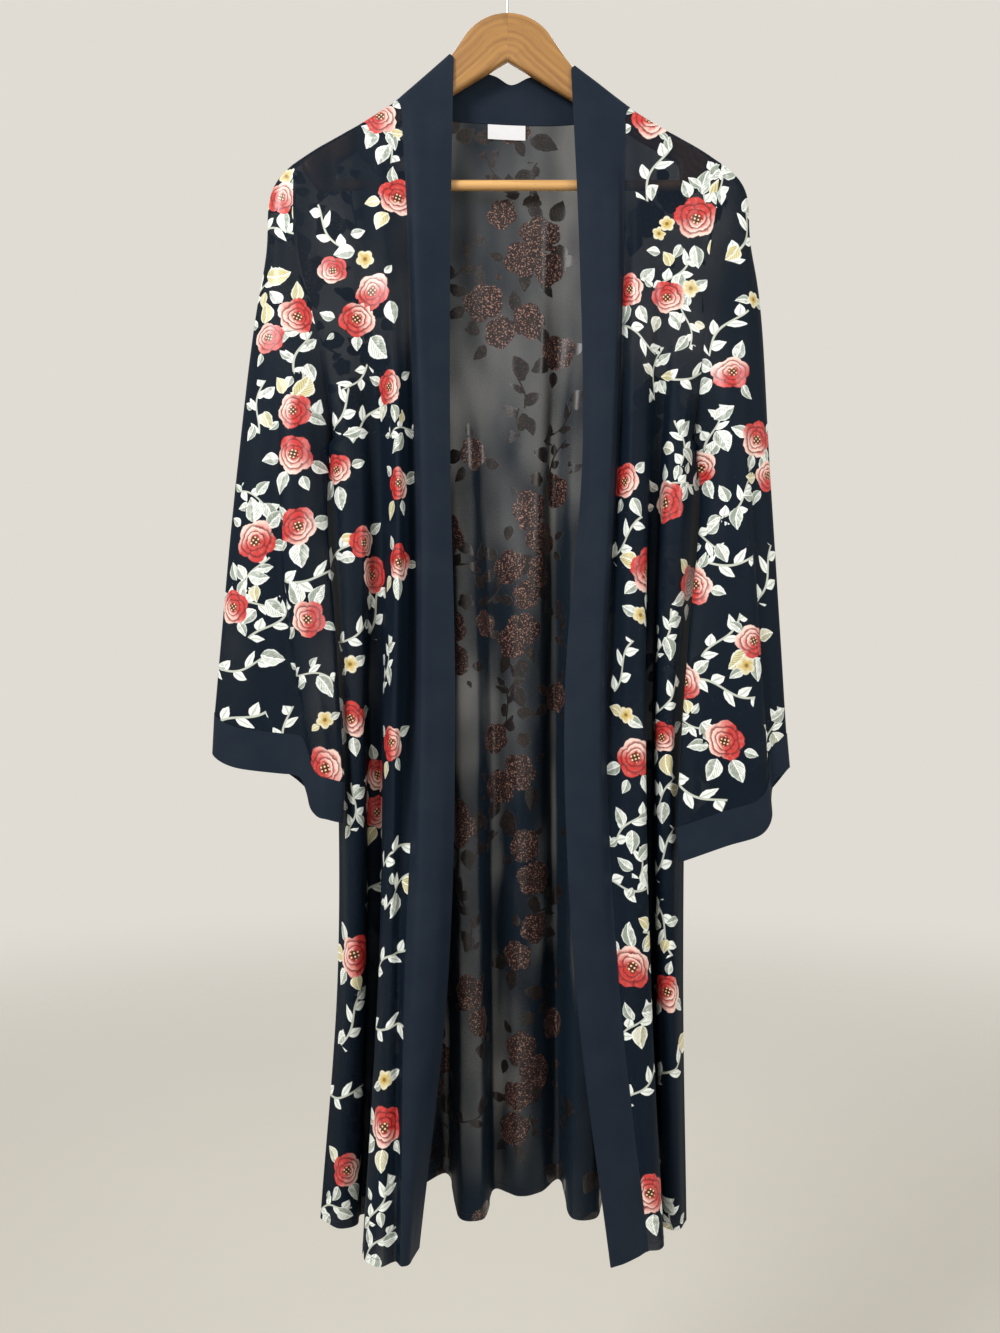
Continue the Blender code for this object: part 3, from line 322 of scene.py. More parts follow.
LEFT_SLEEVE_SPOTS = placed(
    ("DROP", 282, 196, -30), ("BUD", 287, 176, 60), ("TWIG", 272, 232, 60), ("BRANCH", 266, 280, 30),
    ("DROP", 268, 338, 150), ("DROP", 298, 317, 160), ("BRANCH", 258, 404, 0),
    ("TWIG", 306, 386, 0, True), ("DROP", 291, 410, 180), ("LONE", 292, 452, 0),
    ("BRANCH", 262, 500, 100), ("LONE", 255, 541, 200), ("DROP", 299, 526, 20), ("BRANCH", 244, 578, 40),
    ("DROP", 231, 608, 100), ("DROP", 307, 620, 180), ("TWIG", 274, 622, 20), ("BRANCH", 262, 600, 70),
    ("SHOOT", 242, 664, 60), ("TWIG", 236, 720, 40), ("TWIG", 286, 742, -20), ("BRANCH", 316, 676, 90),
    ("BUD", 325, 722, 0), ("LONE", 324, 770, 0, True), ("BRANCH", 250, 574, 20), ("TWIG", 312, 576, 60),
    ("BRANCH", 298, 352, 0),
)
RIGHT_SLEEVE_SPOTS = placed(
    ("SHOOT", 742, 236, 0), ("BUD", 752, 300, 30), ("TWIG", 728, 330, 10), ("DROP", 732, 372, 90),
    ("BRANCH", 712, 424, 0), ("DROP", 701, 470, 90, True), ("DROP", 757, 440, 0), ("DROP", 768, 476, 60),
    ("BRANCH", 736, 498, 30), ("BRANCH", 712, 538, 100), ("TWIG", 726, 560, 60), ("DROP", 695, 584, 180),
    ("TWIG", 722, 636, 10), ("DROP", 753, 640, 20), ("DROP", 684, 680, 120), ("TWIG", 726, 690, 75),
    ("BUD", 748, 665, 0), ("LONE", 727, 741, 0), ("TWIG", 698, 790, 90), ("TWIG", 766, 574, 0),
    ("BRANCH", 770, 726, 0), ("BRANCH", 718, 178, 20), ("BRANCH", 700, 720, 90),
)
BACK_SPOTS = placed(
    ("TRIO", 540, 232), ("PAIR", 530, 318, 90), ("LONE", 484, 300, 90), ("BRANCH", 520, 408, 0),
    ("SHOOT", 560, 425, 20), ("TRIO", 530, 510, 0, True), ("PAIR", 528, 596, 30), ("BRANCH", 510, 680, 0),
    ("TRIO", 520, 770, 20), ("PAIR", 524, 846, 0), ("PAIR", 470, 996, 0), ("SHOOT", 545, 910, 40),
    ("TRIO", 522, 1050, 0, True), ("PAIR", 514, 1100, 30), ("TWIG", 462, 262, 10), ("TWIG", 470, 560, 40),
    ("LONE", 584, 830, 0), ("TWIG", 478, 840, 0), ("PAIR", 548, 270, 200), ("DROP", 556, 350, 30),
    ("DROP", 474, 452, 60), ("PAIR", 540, 570, 120), ("DROP", 512, 640, 0), ("DROP", 556, 700, 90),
    ("PAIR", 536, 930, 60),
)
LAYERS = ("sprigs", "leaves_0", "leaves_1", "leaves_2", "blooms", "roses")
VIEW_EYE = (-7.7, -1300.0, -713.5)  # the camera, in millimetres
VIEW_MIDDLE = (500.0, 666.5)


# Curves and grids

def smooth(knots: Sequence[float], values: Array, at: Array) -> Array:
    """A cubic curve through values at knots, whose slopes are the weighted mean of its neighbours' slopes.

    Args:
        knots: rising places along the curve.
        values: one row for each knot.
        at: where the curve is read.

    Returns:
        One row for each place.
    """
    knots = np.asarray(knots, float)
    values = np.asarray(values, float).reshape(len(knots), -1)
    at = np.atleast_1d(np.asarray(at, float))
    step = np.diff(knots)[:, None]
    slope = np.diff(values, axis=0) / step
    tangent = np.empty_like(values)
    tangent[0], tangent[-1] = slope[0], slope[-1]
    tangent[1:-1] = (slope[:-1] * step[1:] + slope[1:] * step[:-1]) / (step[:-1] + step[1:])
    cell = np.clip(np.searchsorted(knots, at, side="right") - 1, 0, len(knots) - 2)
    length = step[cell]
    t = (at[:, None] - knots[cell][:, None]) / length
    return (
        values[cell] * (2 * t**3 - 3 * t**2 + 1)
        + tangent[cell] * length * (t**3 - 2 * t**2 + t)
        + values[cell + 1] * (3 * t**2 - 2 * t**3)
        + tangent[cell + 1] * length * (t**3 - t**2)
    )


def lerp(a: Array | float, b: Array | float, t: Array | float) -> Array:
    """The point at share t of the way from a to b."""
    return a + (b - a) * t


def unit(vectors: Array) -> Array:
    """Vectors of length 1, and zero where there is no direction."""
    length = np.linalg.norm(vectors, axis=-1, keepdims=True)
    return vectors / np.where(length > 0, length, 1.0)


def arc_lengths(path: Array) -> Array:
    """How far along a path each of its points lies."""
    return np.concatenate([[0.0], np.cumsum(np.linalg.norm(np.diff(path, axis=0), axis=1))])


def ring_sides(rings: int, count: int) -> Array:
    """The four-sided faces between each ring of points and the next."""
    k, i = np.meshgrid(np.arange(rings - 1), np.arange(count), indexing="ij")
    j = (i + 1) % count
    sides = np.stack([k * count + i, k * count + j, (k + 1) * count + j, (k + 1) * count + i], axis=2)
    return sides.reshape(-1, 4)


def tube_faces(rings: int, count: int) -> list[tuple[int, ...]]:
    """The faces between rings of points, and one over the first and one over the last ring."""
    faces = [tuple(face) for face in ring_sides(rings, count)]
    return faces + [tuple(range(count))[::-1], tuple(range((rings - 1) * count, rings * count))]


def fine_steps(values: Sequence[float], parts: int) -> Array:
    """The values with each step between them split into equal parts."""
    at = np.arange((len(values) - 1) * parts + 1) / parts
    return np.interp(at, np.arange(len(values)), values)


def across_lines(lines: Array, parts: Sequence[int], straight: int) -> Array:
    """Rows of points across the fold lines.

    The first rows run straight from line to line. In the others a smooth curve passes through the lines,
    with knots as far apart as the chords to the power 0.7.

    Args:
        lines: points by line and row.
        parts: columns between each line and the next.
        straight: how many rows run straight.

    Returns:
        A grid of points by row and column.
    """
    starts = np.cumsum([0] + list(parts))
    columns = np.arange(starts[-1] + 1)
    rows = []
    for row in range(lines.shape[1]):
        points = lines[:, row]
        if row < straight:
            rows.append(np.stack([np.interp(columns, starts, points[:, k]) for k in range(3)], axis=1))
        else:
            chord = np.linalg.norm(np.diff(points, axis=0), axis=1) ** 0.7
            knots = np.concatenate([[0.0], np.cumsum(chord)])
            rows.append(smooth(knots, points, np.interp(columns, starts, knots)))
    return np.array(rows)


def surface_normals(grid: Array, closed: bool = False) -> Array:
    """Unit normals of a grid: the way down crossed with the way across, from central differences."""
    if closed:
        wide = np.concatenate([grid[:, -2:-1], grid, grid[:, 1:2]], axis=1)
        across = wide[:, 2:] - wide[:, :-2]
    else:
        across = np.gradient(grid, axis=1)
    return unit(np.cross(np.gradient(grid, axis=0), across))


def ripples(across: Array, down: Array, seed: int, pitch: float, height: float) -> Array:
    """Soft uneven folds of the cloth: five sine waves with seeded directions and phases, added up.

    Args:
        across: the cloth's own coordinate across, in metres.
        down: the same, down.
        seed: chooses the waves.
        pitch: the middle wavelength across, in metres.
        height: the waves' usual height, in metres.

    Returns:
        The height at each point.
    """
    rng = np.random.default_rng(seed)
    total = np.zeros_like(across)
    for share in (0.6, 0.8, 1.0, 1.35, 1.8):
        turn = rng.uniform(-0.16, 0.16)
        phase = rng.uniform(0, 2 * math.pi)
        drift = 0.6 * np.sin(down / (pitch * rng.uniform(5, 9)) + rng.uniform(0, 6))
        total += share * np.sin((across + turn * down) / (pitch * share) * 2 * math.pi + phase + drift)
    return total * height / 2.5


# Finishes

class Field:
    """A number that varies over a surface. Arithmetic on it adds Math nodes to its node tree."""

    def __init__(self, tree: Tree, socket: Socket) -> None:
        """Keeps the tree and the socket that carries the number."""
        self.tree = tree
        self.socket = socket

    def math(self, operation: str, *others: "Field | float") -> "Field":
        """A Math node on this field and others."""
        node = self.tree.nodes.new("ShaderNodeMath")
        node.operation = operation
        for place, value in enumerate((self, *others)):
            if isinstance(value, Field):
                self.tree.links.new(value.socket, node.inputs[place])
            else:
                node.inputs[place].default_value = float(value)
        return Field(self.tree, node.outputs[0])

    def __add__(self, other: "Field | float") -> "Field":
        """The sum."""
        return self.math("ADD", other)

    def __sub__(self, other: "Field | float") -> "Field":
        """The difference."""
        return self.math("SUBTRACT", other)

    def __mul__(self, other: "Field | float") -> "Field":
        """The product."""
        return self.math("MULTIPLY", other)

    def __truediv__(self, other: "Field | float") -> "Field":
        """The quotient."""
        return self.math("DIVIDE", other)

    def flipped(self) -> "Field":
        """One minus the field."""
        return (self * -1.0) + 1.0

    def rise(self, start: float, end: float) -> "Field":
        """A smooth step from 0 at start to 1 at end."""
        node = self.tree.nodes.new("ShaderNodeMapRange")
        node.interpolation_type = "SMOOTHSTEP"
        self.tree.links.new(self.socket, node.inputs["Value"])
        low, high = (start, end) if start < end else (end, start)
        set_inputs(node, {"From Min": low, "From Max": high})
        if start > end:
            set_inputs(node, {"To Min": 1.0, "To Max": 0.0})
        return Field(self.tree, node.outputs["Result"])


def set_inputs(node: Node, values: dict[str, float | tuple[float, ...]]) -> None:
    """Gives inputs of a node plain values."""
    for name, value in values.items():
        node.inputs[name].default_value = value


def stored(tree: Tree, name: str) -> Node:
    """A node that reads an attribute of the piece."""
    node = tree.nodes.new("ShaderNodeAttribute")
    node.attribute_name = name
    return node


def tint(tree: Tree, share: Field, low: object, high: object) -> Socket:
    """A colour that goes from low to high as share goes from 0 to 1. Each is a colour or a colour socket."""
    node = tree.nodes.new("ShaderNodeMix")
    node.data_type = "RGBA"
    tree.links.new(share.socket, node.inputs[0])
    for place, value in ((6, low), (7, high)):
        if isinstance(value, tuple):
            node.inputs[place].default_value = (*value, 1.0)
        else:
            tree.links.new(value, node.inputs[place])
    return node.outputs[2]


def speckle(tree: Tree, place: Socket, scale: float, detail: float = 2.0) -> Field:
    """Noise at a place, about 0.5 on average."""
    node = tree.nodes.new("ShaderNodeTexNoise")
    set_inputs(node, {"Scale": scale, "Detail": detail})
    tree.links.new(place, node.inputs["Vector"])
    return Field(tree, node.outputs["Fac"])


def parts_of(tree: Tree, vector: Socket) -> tuple[Field, Field, Field]:
    """The three numbers of a vector."""
    node = tree.nodes.new("ShaderNodeSeparateXYZ")
    tree.links.new(vector, node.inputs[0])
    return Field(tree, node.outputs[0]), Field(tree, node.outputs[1]), Field(tree, node.outputs[2])


def motif_group(name: str, draw: Callable) -> Tree:
    """A node group that draws one motif, made once.

    Args:
        name: the group's name.
        draw: takes the tree, the place's socket and the grain, and gives the colour's socket and the cover.

    Returns:
        The group, with Place and Grain going in and Shade and Cover coming out.
    """
    made = bpy.data.node_groups.get(name)
    if made:
        return made
    tree = bpy.data.node_groups.new(name, "ShaderNodeTree")
    tree.interface.new_socket("Place", in_out="INPUT", socket_type="NodeSocketVector")
    tree.interface.new_socket("Grain", in_out="INPUT", socket_type="NodeSocketFloat")
    tree.interface.new_socket("Shade", in_out="OUTPUT", socket_type="NodeSocketColor")
    tree.interface.new_socket("Cover", in_out="OUTPUT", socket_type="NodeSocketFloat")
    start = tree.nodes.new("NodeGroupInput")
    end = tree.nodes.new("NodeGroupOutput")
    shade, cover = draw(tree, start.outputs["Place"], Field(tree, start.outputs["Grain"]))
    tree.links.new(shade, end.inputs["Shade"])
    tree.links.new(cover.socket, end.inputs["Cover"])
    return tree


@dataclass(frozen=True)
class RosePrint:
    """A rose: three rings of scalloped petals with pale rims round a dark heart with pale stamens."""

    name: str = "rose_print"
    body: Colour = (0.50, 0.032, 0.028)
    rim: Colour = (0.80, 0.57, 0.50)
    shadow: Colour = (0.10, 0.005, 0.008)
    heart: Colour = (0.060, 0.006, 0.006)
    stamen: Colour = (0.70, 0.58, 0.30)

    def draw(self, tree: Tree, place: Socket, grain: Field) -> tuple:
        """A ring of n petals ends, at angle a, at its radius times 0.84 + 0.16 |cos(n a / 2 + phase)|.

        Its rim is pale on the side that the light comes from. Its foot is dark just outside the next ring.
        """
        x, y, vary = parts_of(tree, place)
        radius = (x * x + y * y).math("SQRT")
        turn = y.math("ARCTAN2", x)
        lit = ((turn + vary * 2.0 + 1.9).math("SINE") * 0.75 + 0.25).math("MAXIMUM", 0.0)
        uneven = (turn + vary * 6.3).math("SINE") * 0.08 + (turn * 2.0 + vary * 9.0).math("SINE") * 0.06 + 1.0
        colour, cover = self.body, None
        for petals, reach, phase in ((5.0, 1.0, 5.0), (4.0, 0.70, 13.0), (3.0, 0.44, 7.0)):
            scallop = (turn * (petals / 2) + vary * phase + phase).math("COSINE").math("ABSOLUTE")
            share = (radius * uneven + (grain - 0.5) * 0.14) / ((scallop * 0.16 + 0.84) * reach)
            inside = share.rise(1.0, 0.94)
            petal = tint(tree, share.rise(0.80, 0.42) * 0.85, self.body, self.shadow)
            crease = scallop.rise(0.30, 0.0) * share.rise(0.35, 0.8)
            petal = tint(tree, crease * 0.6, petal, self.shadow)
            pale = (share.rise(0.50, 1.0) * lit * 1.3 + (grain - 0.5) * 0.6 * share).math("MINIMUM", 1.0)
            petal = tint(tree, pale.math("MAXIMUM", 0.0), petal, self.rim)
            if cover is None:
                colour, cover = petal, inside
            else:
                shade = share.rise(1.22, 1.0) * 0.75
                colour = tint(tree, shade, colour, self.shadow)
                colour = tint(tree, inside, colour, petal)
        colour = tint(tree, radius.rise(0.22, 0.12), colour, self.heart)
        dots = (x * 26.0).math("SINE") * (y * 26.0).math("SINE")
        seeds = dots.rise(0.25, 0.6) * radius.rise(0.30, 0.20)
        return tint(tree, seeds, colour, self.stamen), cover


@dataclass(frozen=True)
class BloomPrint:
    """A small yellow bloom of five petals."""

    name: str = "bloom_print"
    body: Colour = (0.52, 0.38, 0.10)
    rim: Colour = (0.66, 0.62, 0.46)
    heart: Colour = (0.22, 0.12, 0.02)

    def draw(self, tree: Tree, place: Socket, grain: Field) -> tuple:
        """The outline's radius is 0.76 plus 0.24 times the size of a sine with five lobes."""
        x, y, vary = parts_of(tree, place)
        radius = (x * x + y * y).math("SQRT")
        lobes = (y.math("ARCTAN2", x) * 2.5 + vary * 5.0).math("SINE").math("ABSOLUTE")
        share = radius / (lobes * 0.24 + 0.76)
        shade = (share * 0.9 + grain * 0.8 - 0.65).rise(0.0, 0.6)
        colour = tint(tree, shade, self.body, self.rim)
        return tint(tree, radius.rise(0.30, 0.12), colour, self.heart), share.rise(1.0, 0.88)


@dataclass(frozen=True)
class LeafPrint:
    """A veined leaf, one half lighter than the other, with a pale midrib and edge."""

    name: str = "leaf_print"
    light: Colour = (0.74, 0.77, 0.73)
    dim: Colour = (0.27, 0.31, 0.26)
    rim: Colour = (0.86, 0.90, 0.88)
    vein: Colour = (0.070, 0.090, 0.070)
    warm: Colour = (0.62, 0.52, 0.20)

    def draw(self, tree: Tree, place: Socket, grain: Field) -> tuple:
        """Half the width is (1 - x^2)^0.85 (1 - 0.4 x) times 0.56 to 0.76, so that the tip is sharper."""
        x, y, vary = parts_of(tree, place)
        along = (x * x * -1.0 + 1.0).math("MAXIMUM", 0.0).math("POWER", 0.85)
        width = along * (x * -0.4 + 1.0) * (vary * 0.20 + 0.56) + 0.0001
        bent = y + (x * x - 0.4) * ((vary - 0.5) * 0.5) + (grain - 0.5) * 0.16
        high = bent.math("ABSOLUTE")
        side = high / width
        ribs = ((x * 0.5 - high * 0.7) * 7.0 + vary * 3.0).math("FRACT")
        colour = tint(tree, (bent.rise(-0.1, 0.1) * 0.55 + grain * 1.4 + vary * 0.5 - 0.75).rise(0.0, 1.0),
                      self.dim, self.light)
        colour = tint(tree, vary.rise(0.84, 0.92) * 0.75, colour, self.warm)
        colour = tint(tree, ribs.rise(0.62, 1.0) * side.rise(1.0, 0.5) * 0.75, colour, self.vein)
        colour = tint(tree, side.rise(0.70, 0.92) * 0.7, colour, self.rim)
        midrib = high.rise(0.060, 0.030)
        return tint(tree, midrib * 0.85, colour, self.rim), side.rise(1.0, 0.88)


@dataclass(frozen=True)
class SprigPrint:
    """A thin waving stem with a few pale leaves on alternate sides."""

    name: str = "sprig_print"
    stem: Colour = (0.46, 0.49, 0.42)
    leaf: Colour = (0.76, 0.80, 0.77)
    crease: Colour = (0.26, 0.30, 0.26)

    def draw(self, tree: Tree, place: Socket, grain: Field) -> tuple:
        """The stem is y = 0.18 sin(2.4 x + phase). The leaves stand 0.9 apart, at 42 degrees to it."""
        x, y, vary = parts_of(tree, place)
        above = y - (x * 2.4 + vary * 6.3).math("SINE") * 0.18
        stem = above.math("ABSOLUTE").rise(0.046, 0.024) * x.math("ABSOLUTE").rise(1.0, 0.96)
        cover, shade = stem, stem * 0.0
        lean = math.radians(42)
        for side in (1.0, -1.0):
            pitch = x / 0.9 + (0.25 if side > 0 else 0.75) + vary
            local = (pitch.math("FRACT") - 0.22) * 0.9
            up = above * side
            far = local * math.cos(lean) + up * math.sin(lean)
            off = up * math.cos(lean) - local * math.sin(lean)
            reach = far / 0.27 - 1.05
            along = (reach * reach * -1.0 + 1.0).math("MAXIMUM", 0.0).math("POWER", 0.8)
            width = along * (reach * -0.4 + 1.0) * 0.155 + 0.0001
            side_share = (off + (grain - 0.5) * 0.05).math("ABSOLUTE") / width
            leaf = side_share.rise(1.0, 0.82) * x.math("ABSOLUTE").rise(0.99, 0.95)
            cover = cover.math("MAXIMUM", leaf)
            shade = shade.math("MAXIMUM", side_share.rise(0.26, 0.06) * leaf)
        colour = tint(tree, cover.rise(0.3, 0.9) * stem.flipped() * (grain * 0.6 + 0.6), self.stem, self.leaf)
        return tint(tree, shade * 0.6, colour, self.crease), cover


PRINTS = {
    "sprigs": SprigPrint(),
    "leaves_0": LeafPrint(),
    "leaves_1": LeafPrint(),
    "leaves_2": LeafPrint(),
    "blooms": BloomPrint(),
    "roses": RosePrint(),
}


def new_material(name: str) -> tuple[Material, Tree, Node]:
    """An empty material, its tree and its Principled shader."""
    made = bpy.data.materials.new(name)
    made.use_nodes = True
    return made, made.node_tree, made.node_tree.nodes["Principled BSDF"]


def add_bump(tree: Tree, shader: Node, height: Field, strength: float, reach: float) -> None:
    """Raises the shading by a height: reach is how far 1 stands out, in metres."""
    bump = tree.nodes.new("ShaderNodeBump")
    set_inputs(bump, {"Strength": strength, "Distance": reach})
    tree.links.new(height.socket, bump.inputs["Height"])
    tree.links.new(bump.outputs["Normal"], shader.inputs["Normal"])


def own_place(tree: Tree, stretch: Colour = (1.0, 1.0, 1.0)) -> Socket:
    """The place on the piece in metres, times a stretch along each axis."""
    coords = tree.nodes.new("ShaderNodeTexCoord")
    mapping = tree.nodes.new("ShaderNodeMapping")
    mapping.inputs["Scale"].default_value = stretch
    tree.links.new(coords.outputs["Object"], mapping.inputs["Vector"])
    return mapping.outputs["Vector"]


@dataclass(frozen=True)
class MeshCloth:
    """Sheer dark mesh with the print. The wrong side shows the print dull and coppery."""

    name: str
    wrong_side: bool = False
    ground: Colour = (0.0036, 0.0082, 0.0160)
    ground_cover: float = 0.68
    # The wrong side's ground: the bluish tint is the mesh's own, and the extra lightness is painted light on
    # its lit threads
    wrong_ground_lit: Colour = (0.0060, 0.0125, 0.0215)
    wrong_cover: float = 0.36
    # Painted shade: these raise the mesh's cover, and so darken it, in folds turned edge on (partly the real
    # denser mesh), toward the hem and in soft noise clouds
    fold_shade_cover: float = 0.55
    low_shadow_cover: float = 0.60
    shadow_cloud_cover: float = 2.2
    print_cover: float = 0.97
    dull_rose: Colour = (0.0120, 0.0070, 0.0080)
    dull_leaf: Colour = (0.0060, 0.0052, 0.0062)
    copper: Colour = (0.30, 0.165, 0.125)

    def material(self) -> Material:
        """Lays the motifs' layers over the ground, from the sprigs up to the roses.

        The mesh lets less through, and so looks darker, where a fold turns it edge on, which is partly the
        denser mesh seen edge on and partly painted shade in the folds; toward the hem, which is painted
        shadow darkening the lower cloth; and in soft noise clouds, which are blotches of painted shadow.
        """
        made, tree, shader = new_material(self.name)
        # The wrong side starts from a lighter ground: painted light on the threads of the same mesh
        colour = self.wrong_ground_lit if self.wrong_side else self.ground
        total = None
        grain = speckle(tree, own_place(tree), 260.0, 1.0)
        for layer in LAYERS:
            place = stored(tree, layer)
            draw = PRINTS[layer]
            group = tree.nodes.new("ShaderNodeGroup")
            group.node_tree = motif_group(draw.name, draw.draw)
            tree.links.new(place.outputs["Vector"], group.inputs["Place"])
            tree.links.new(grain.socket, group.inputs["Grain"])
            cover = Field(tree, group.outputs["Cover"])
            shade = group.outputs["Shade"]
            if self.wrong_side:
                rosy = layer == "roses"
                dull = self.dull_rose if rosy else self.dull_leaf
                shade = tint(tree, self.glint(tree) * (0.90 if rosy else 0.15), dull, self.copper)
            colour = tint(tree, cover, colour, shade)
            total = cover if total is None else total.math("MAXIMUM", cover)
        tree.links.new(colour, shader.inputs["Base Color"])
        # Denser where the cloth turns edge on to the front: partly the real edge-on mesh, partly painted
        # shade in the folds
        turned = Field(tree, stored(tree, "fold").outputs["Fac"]).rise(0.05, 0.75)
        least = self.wrong_cover if self.wrong_side else self.ground_cover
        reach = (-0.25, -1.20) if self.wrong_side else (-0.18, -0.60)
        # Painted shadow: the mesh lets less through toward the hem and in soft noise clouds, which darkens
        # the cloth there
        low = parts_of(tree, own_place(tree))[2].rise(*reach) * self.low_shadow_cover
        clouds = (speckle(tree, own_place(tree, (1.0, 1.0, 0.45)), 14.0, 2.0) - 0.46) * self.shadow_cloud_cover
        denser_and_painted_shade = (turned * self.fold_shade_cover + low + clouds).math("MAXIMUM", 0.0).math("MINIMUM", 0.95)
        ground_cover = denser_and_painted_shade * (1 - least) + least
        top = 0.93 if self.wrong_side else self.print_cover
        alpha = ground_cover + total * (ground_cover * -1.0 + top).math("MAXIMUM", 0.0)
        tree.links.new(alpha.socket, shader.inputs["Alpha"])
        tree.links.new((total * -0.26 + 0.60).socket, shader.inputs["Roughness"])
        tree.links.new((total * 0.34 + 0.08).socket, shader.inputs["Specular IOR Level"])
        add_bump(tree, shader, speckle(tree, own_place(tree, (1.0, 1.0, 0.35)), 240.0, 1.0), 0.25, 0.0004)
        return made

    @staticmethod
    def glint(tree: Tree) -> Field:
        """Fine specks, made once in a tree."""
        node = tree.nodes.get("glint")
        if node is None:
            field_made = speckle(tree, own_place(tree), 640.0, 1.0).rise(0.55, 0.66)
            field_made.socket.node.name = "glint"
            return field_made
        return Field(tree, node.outputs["Result"])


@dataclass(frozen=True)
class PlainCloth:
    """Plain navy cloth with a close twill, for bands and cuffs."""

    name: str = "plain_navy_cloth"
    low: Colour = (0.0058, 0.0112, 0.0215)
    high: Colour = (0.0110, 0.0175, 0.0285)

    def material(self) -> Material:
        """A fine slanting weave, with clouds where the cloth is a little worn."""
        made, tree, shader = new_material(self.name)
        place = own_place(tree)
        clouds = speckle(tree, place, 30.0, 3.0)
        x, _, z = parts_of(tree, place)
        twill = ((x + z) * 5200.0).math("SINE") * 0.5 + 0.5
        weave = twill * 0.6 + speckle(tree, place, 1400.0, 1.0) * 0.8
        colour = tint(tree, (clouds * 0.9 + weave * 0.35 - 0.25).rise(0.0, 1.0), self.low, self.high)
        tree.links.new(colour, shader.inputs["Base Color"])
        set_inputs(shader, {"Roughness": 0.62, "Specular IOR Level": 0.09, "Sheen Weight": 0.03,
                            "Sheen Roughness": 0.5, "Sheen Tint": (0.62, 0.72, 1.0, 1.0)})
        creases = speckle(tree, own_place(tree, (1.0, 1.0, 0.3)), 120.0, 2.0)
        add_bump(tree, shader, weave + creases * 2.0, 0.4, 0.0003)
        return made


@dataclass(frozen=True)
class Ribbon:
    """White satin ribbon for the label, left bare."""

    name: str = "label_ribbon"
    tone: Colour = (0.60, 0.60, 0.62)

    def material(self) -> Material:
        """Fine threads across."""
        made, tree, shader = new_material(self.name)
        _, _, z = parts_of(tree, own_place(tree))
        threads = (z * 9000.0).math("SINE") * 0.5 + 0.5
        clouds = speckle(tree, own_place(tree), 120.0)
        colour = tint(tree, threads * 0.15 + clouds * 0.3, self.tone, (0.50, 0.50, 0.51))
        tree.links.new(colour, shader.inputs["Base Color"])
        shader.inputs["Roughness"].default_value = 0.42
        add_bump(tree, shader, threads, 0.3, 0.0001)
        return made


@dataclass(frozen=True)
class Varnish:
    """Varnished wood whose grain follows the piece's own attribute: along, across and depth, in metres."""

    name: str
    light: Colour
    dark: Colour
    stain: Colour

    def material(self) -> Material:
        """Long streaks from noise stretched along the grain, darker pores, and a stain in patches."""
        made, tree, shader = new_material(self.name)
        grain = stored(tree, "grain")
        mapping = tree.nodes.new("ShaderNodeMapping")
        mapping.inputs["Scale"].default_value = (0.06, 1.0, 1.0)
        tree.links.new(grain.outputs["Vector"], mapping.inputs["Vector"])
        place = mapping.outputs["Vector"]
        broad = speckle(tree, place, 130.0, 4.0)
        rings = (parts_of(tree, place)[1] * 900.0 + broad * 9.0).math("SINE") * 0.5 + 0.5
        pores = speckle(tree, place, 1500.0, 2.0).rise(0.60, 0.75)
        colour = tint(tree, (rings * 0.25 + broad * 1.1 - 0.2).rise(0.0, 1.0), self.light, self.dark)
        colour = tint(tree, pores * 0.45, colour, self.stain)
        patches = speckle(tree, grain.outputs["Vector"], 22.0, 3.0)
        colour = tint(tree, patches.rise(0.55, 0.75) * 0.35, colour, self.stain)
        tree.links.new(colour, shader.inputs["Base Color"])
        set_inputs(shader, {"Roughness": 0.32, "Coat Weight": 0.35, "Coat Roughness": 0.15})
        add_bump(tree, shader, pores.flipped() + rings * 0.3, 0.35, 0.00015)
        return made


@dataclass(frozen=True)
class Wire:
    """Polished steel wire with faint drawing marks."""

    name: str = "hook_wire"
    tone: Colour = (0.74, 0.74, 0.76)

    def material(self) -> Material:
        """Nearly even metal, slightly rougher in spots."""
        made, tree, shader = new_material(self.name)
        spots = speckle(tree, own_place(tree), 400.0, 3.0)
        tree.links.new(tint(tree, spots, self.tone, (0.55, 0.55, 0.57)), shader.inputs["Base Color"])
        tree.links.new((spots * 0.2 + 0.14).socket, shader.inputs["Roughness"])
        shader.inputs["Metallic"].default_value = 1.0
        return made


@dataclass(frozen=True)
class Thread:
    """Dark sewing thread."""

    name: str = "hem_thread"
    tone: Colour = (0.016, 0.022, 0.034)

    def material(self) -> Material:
        """Twisted plies."""
        made, tree, shader = new_material(self.name)
        x, y, z = parts_of(tree, own_place(tree))
        twist = ((x + y + z) * 9000.0).math("SINE") * 0.5 + 0.5
        dark = tuple(c * 0.6 for c in self.tone)
        tree.links.new(tint(tree, twist, self.tone, dark), shader.inputs["Base Color"])
        shader.inputs["Roughness"].default_value = 0.6
        return made


# Pieces

def add_object(name: str, data: bpy.types.ID) -> bpy.types.Object:
    """A new object in the scene."""
    made = bpy.data.objects.new(name, data)
    bpy.context.scene.collection.objects.link(made)
    return made


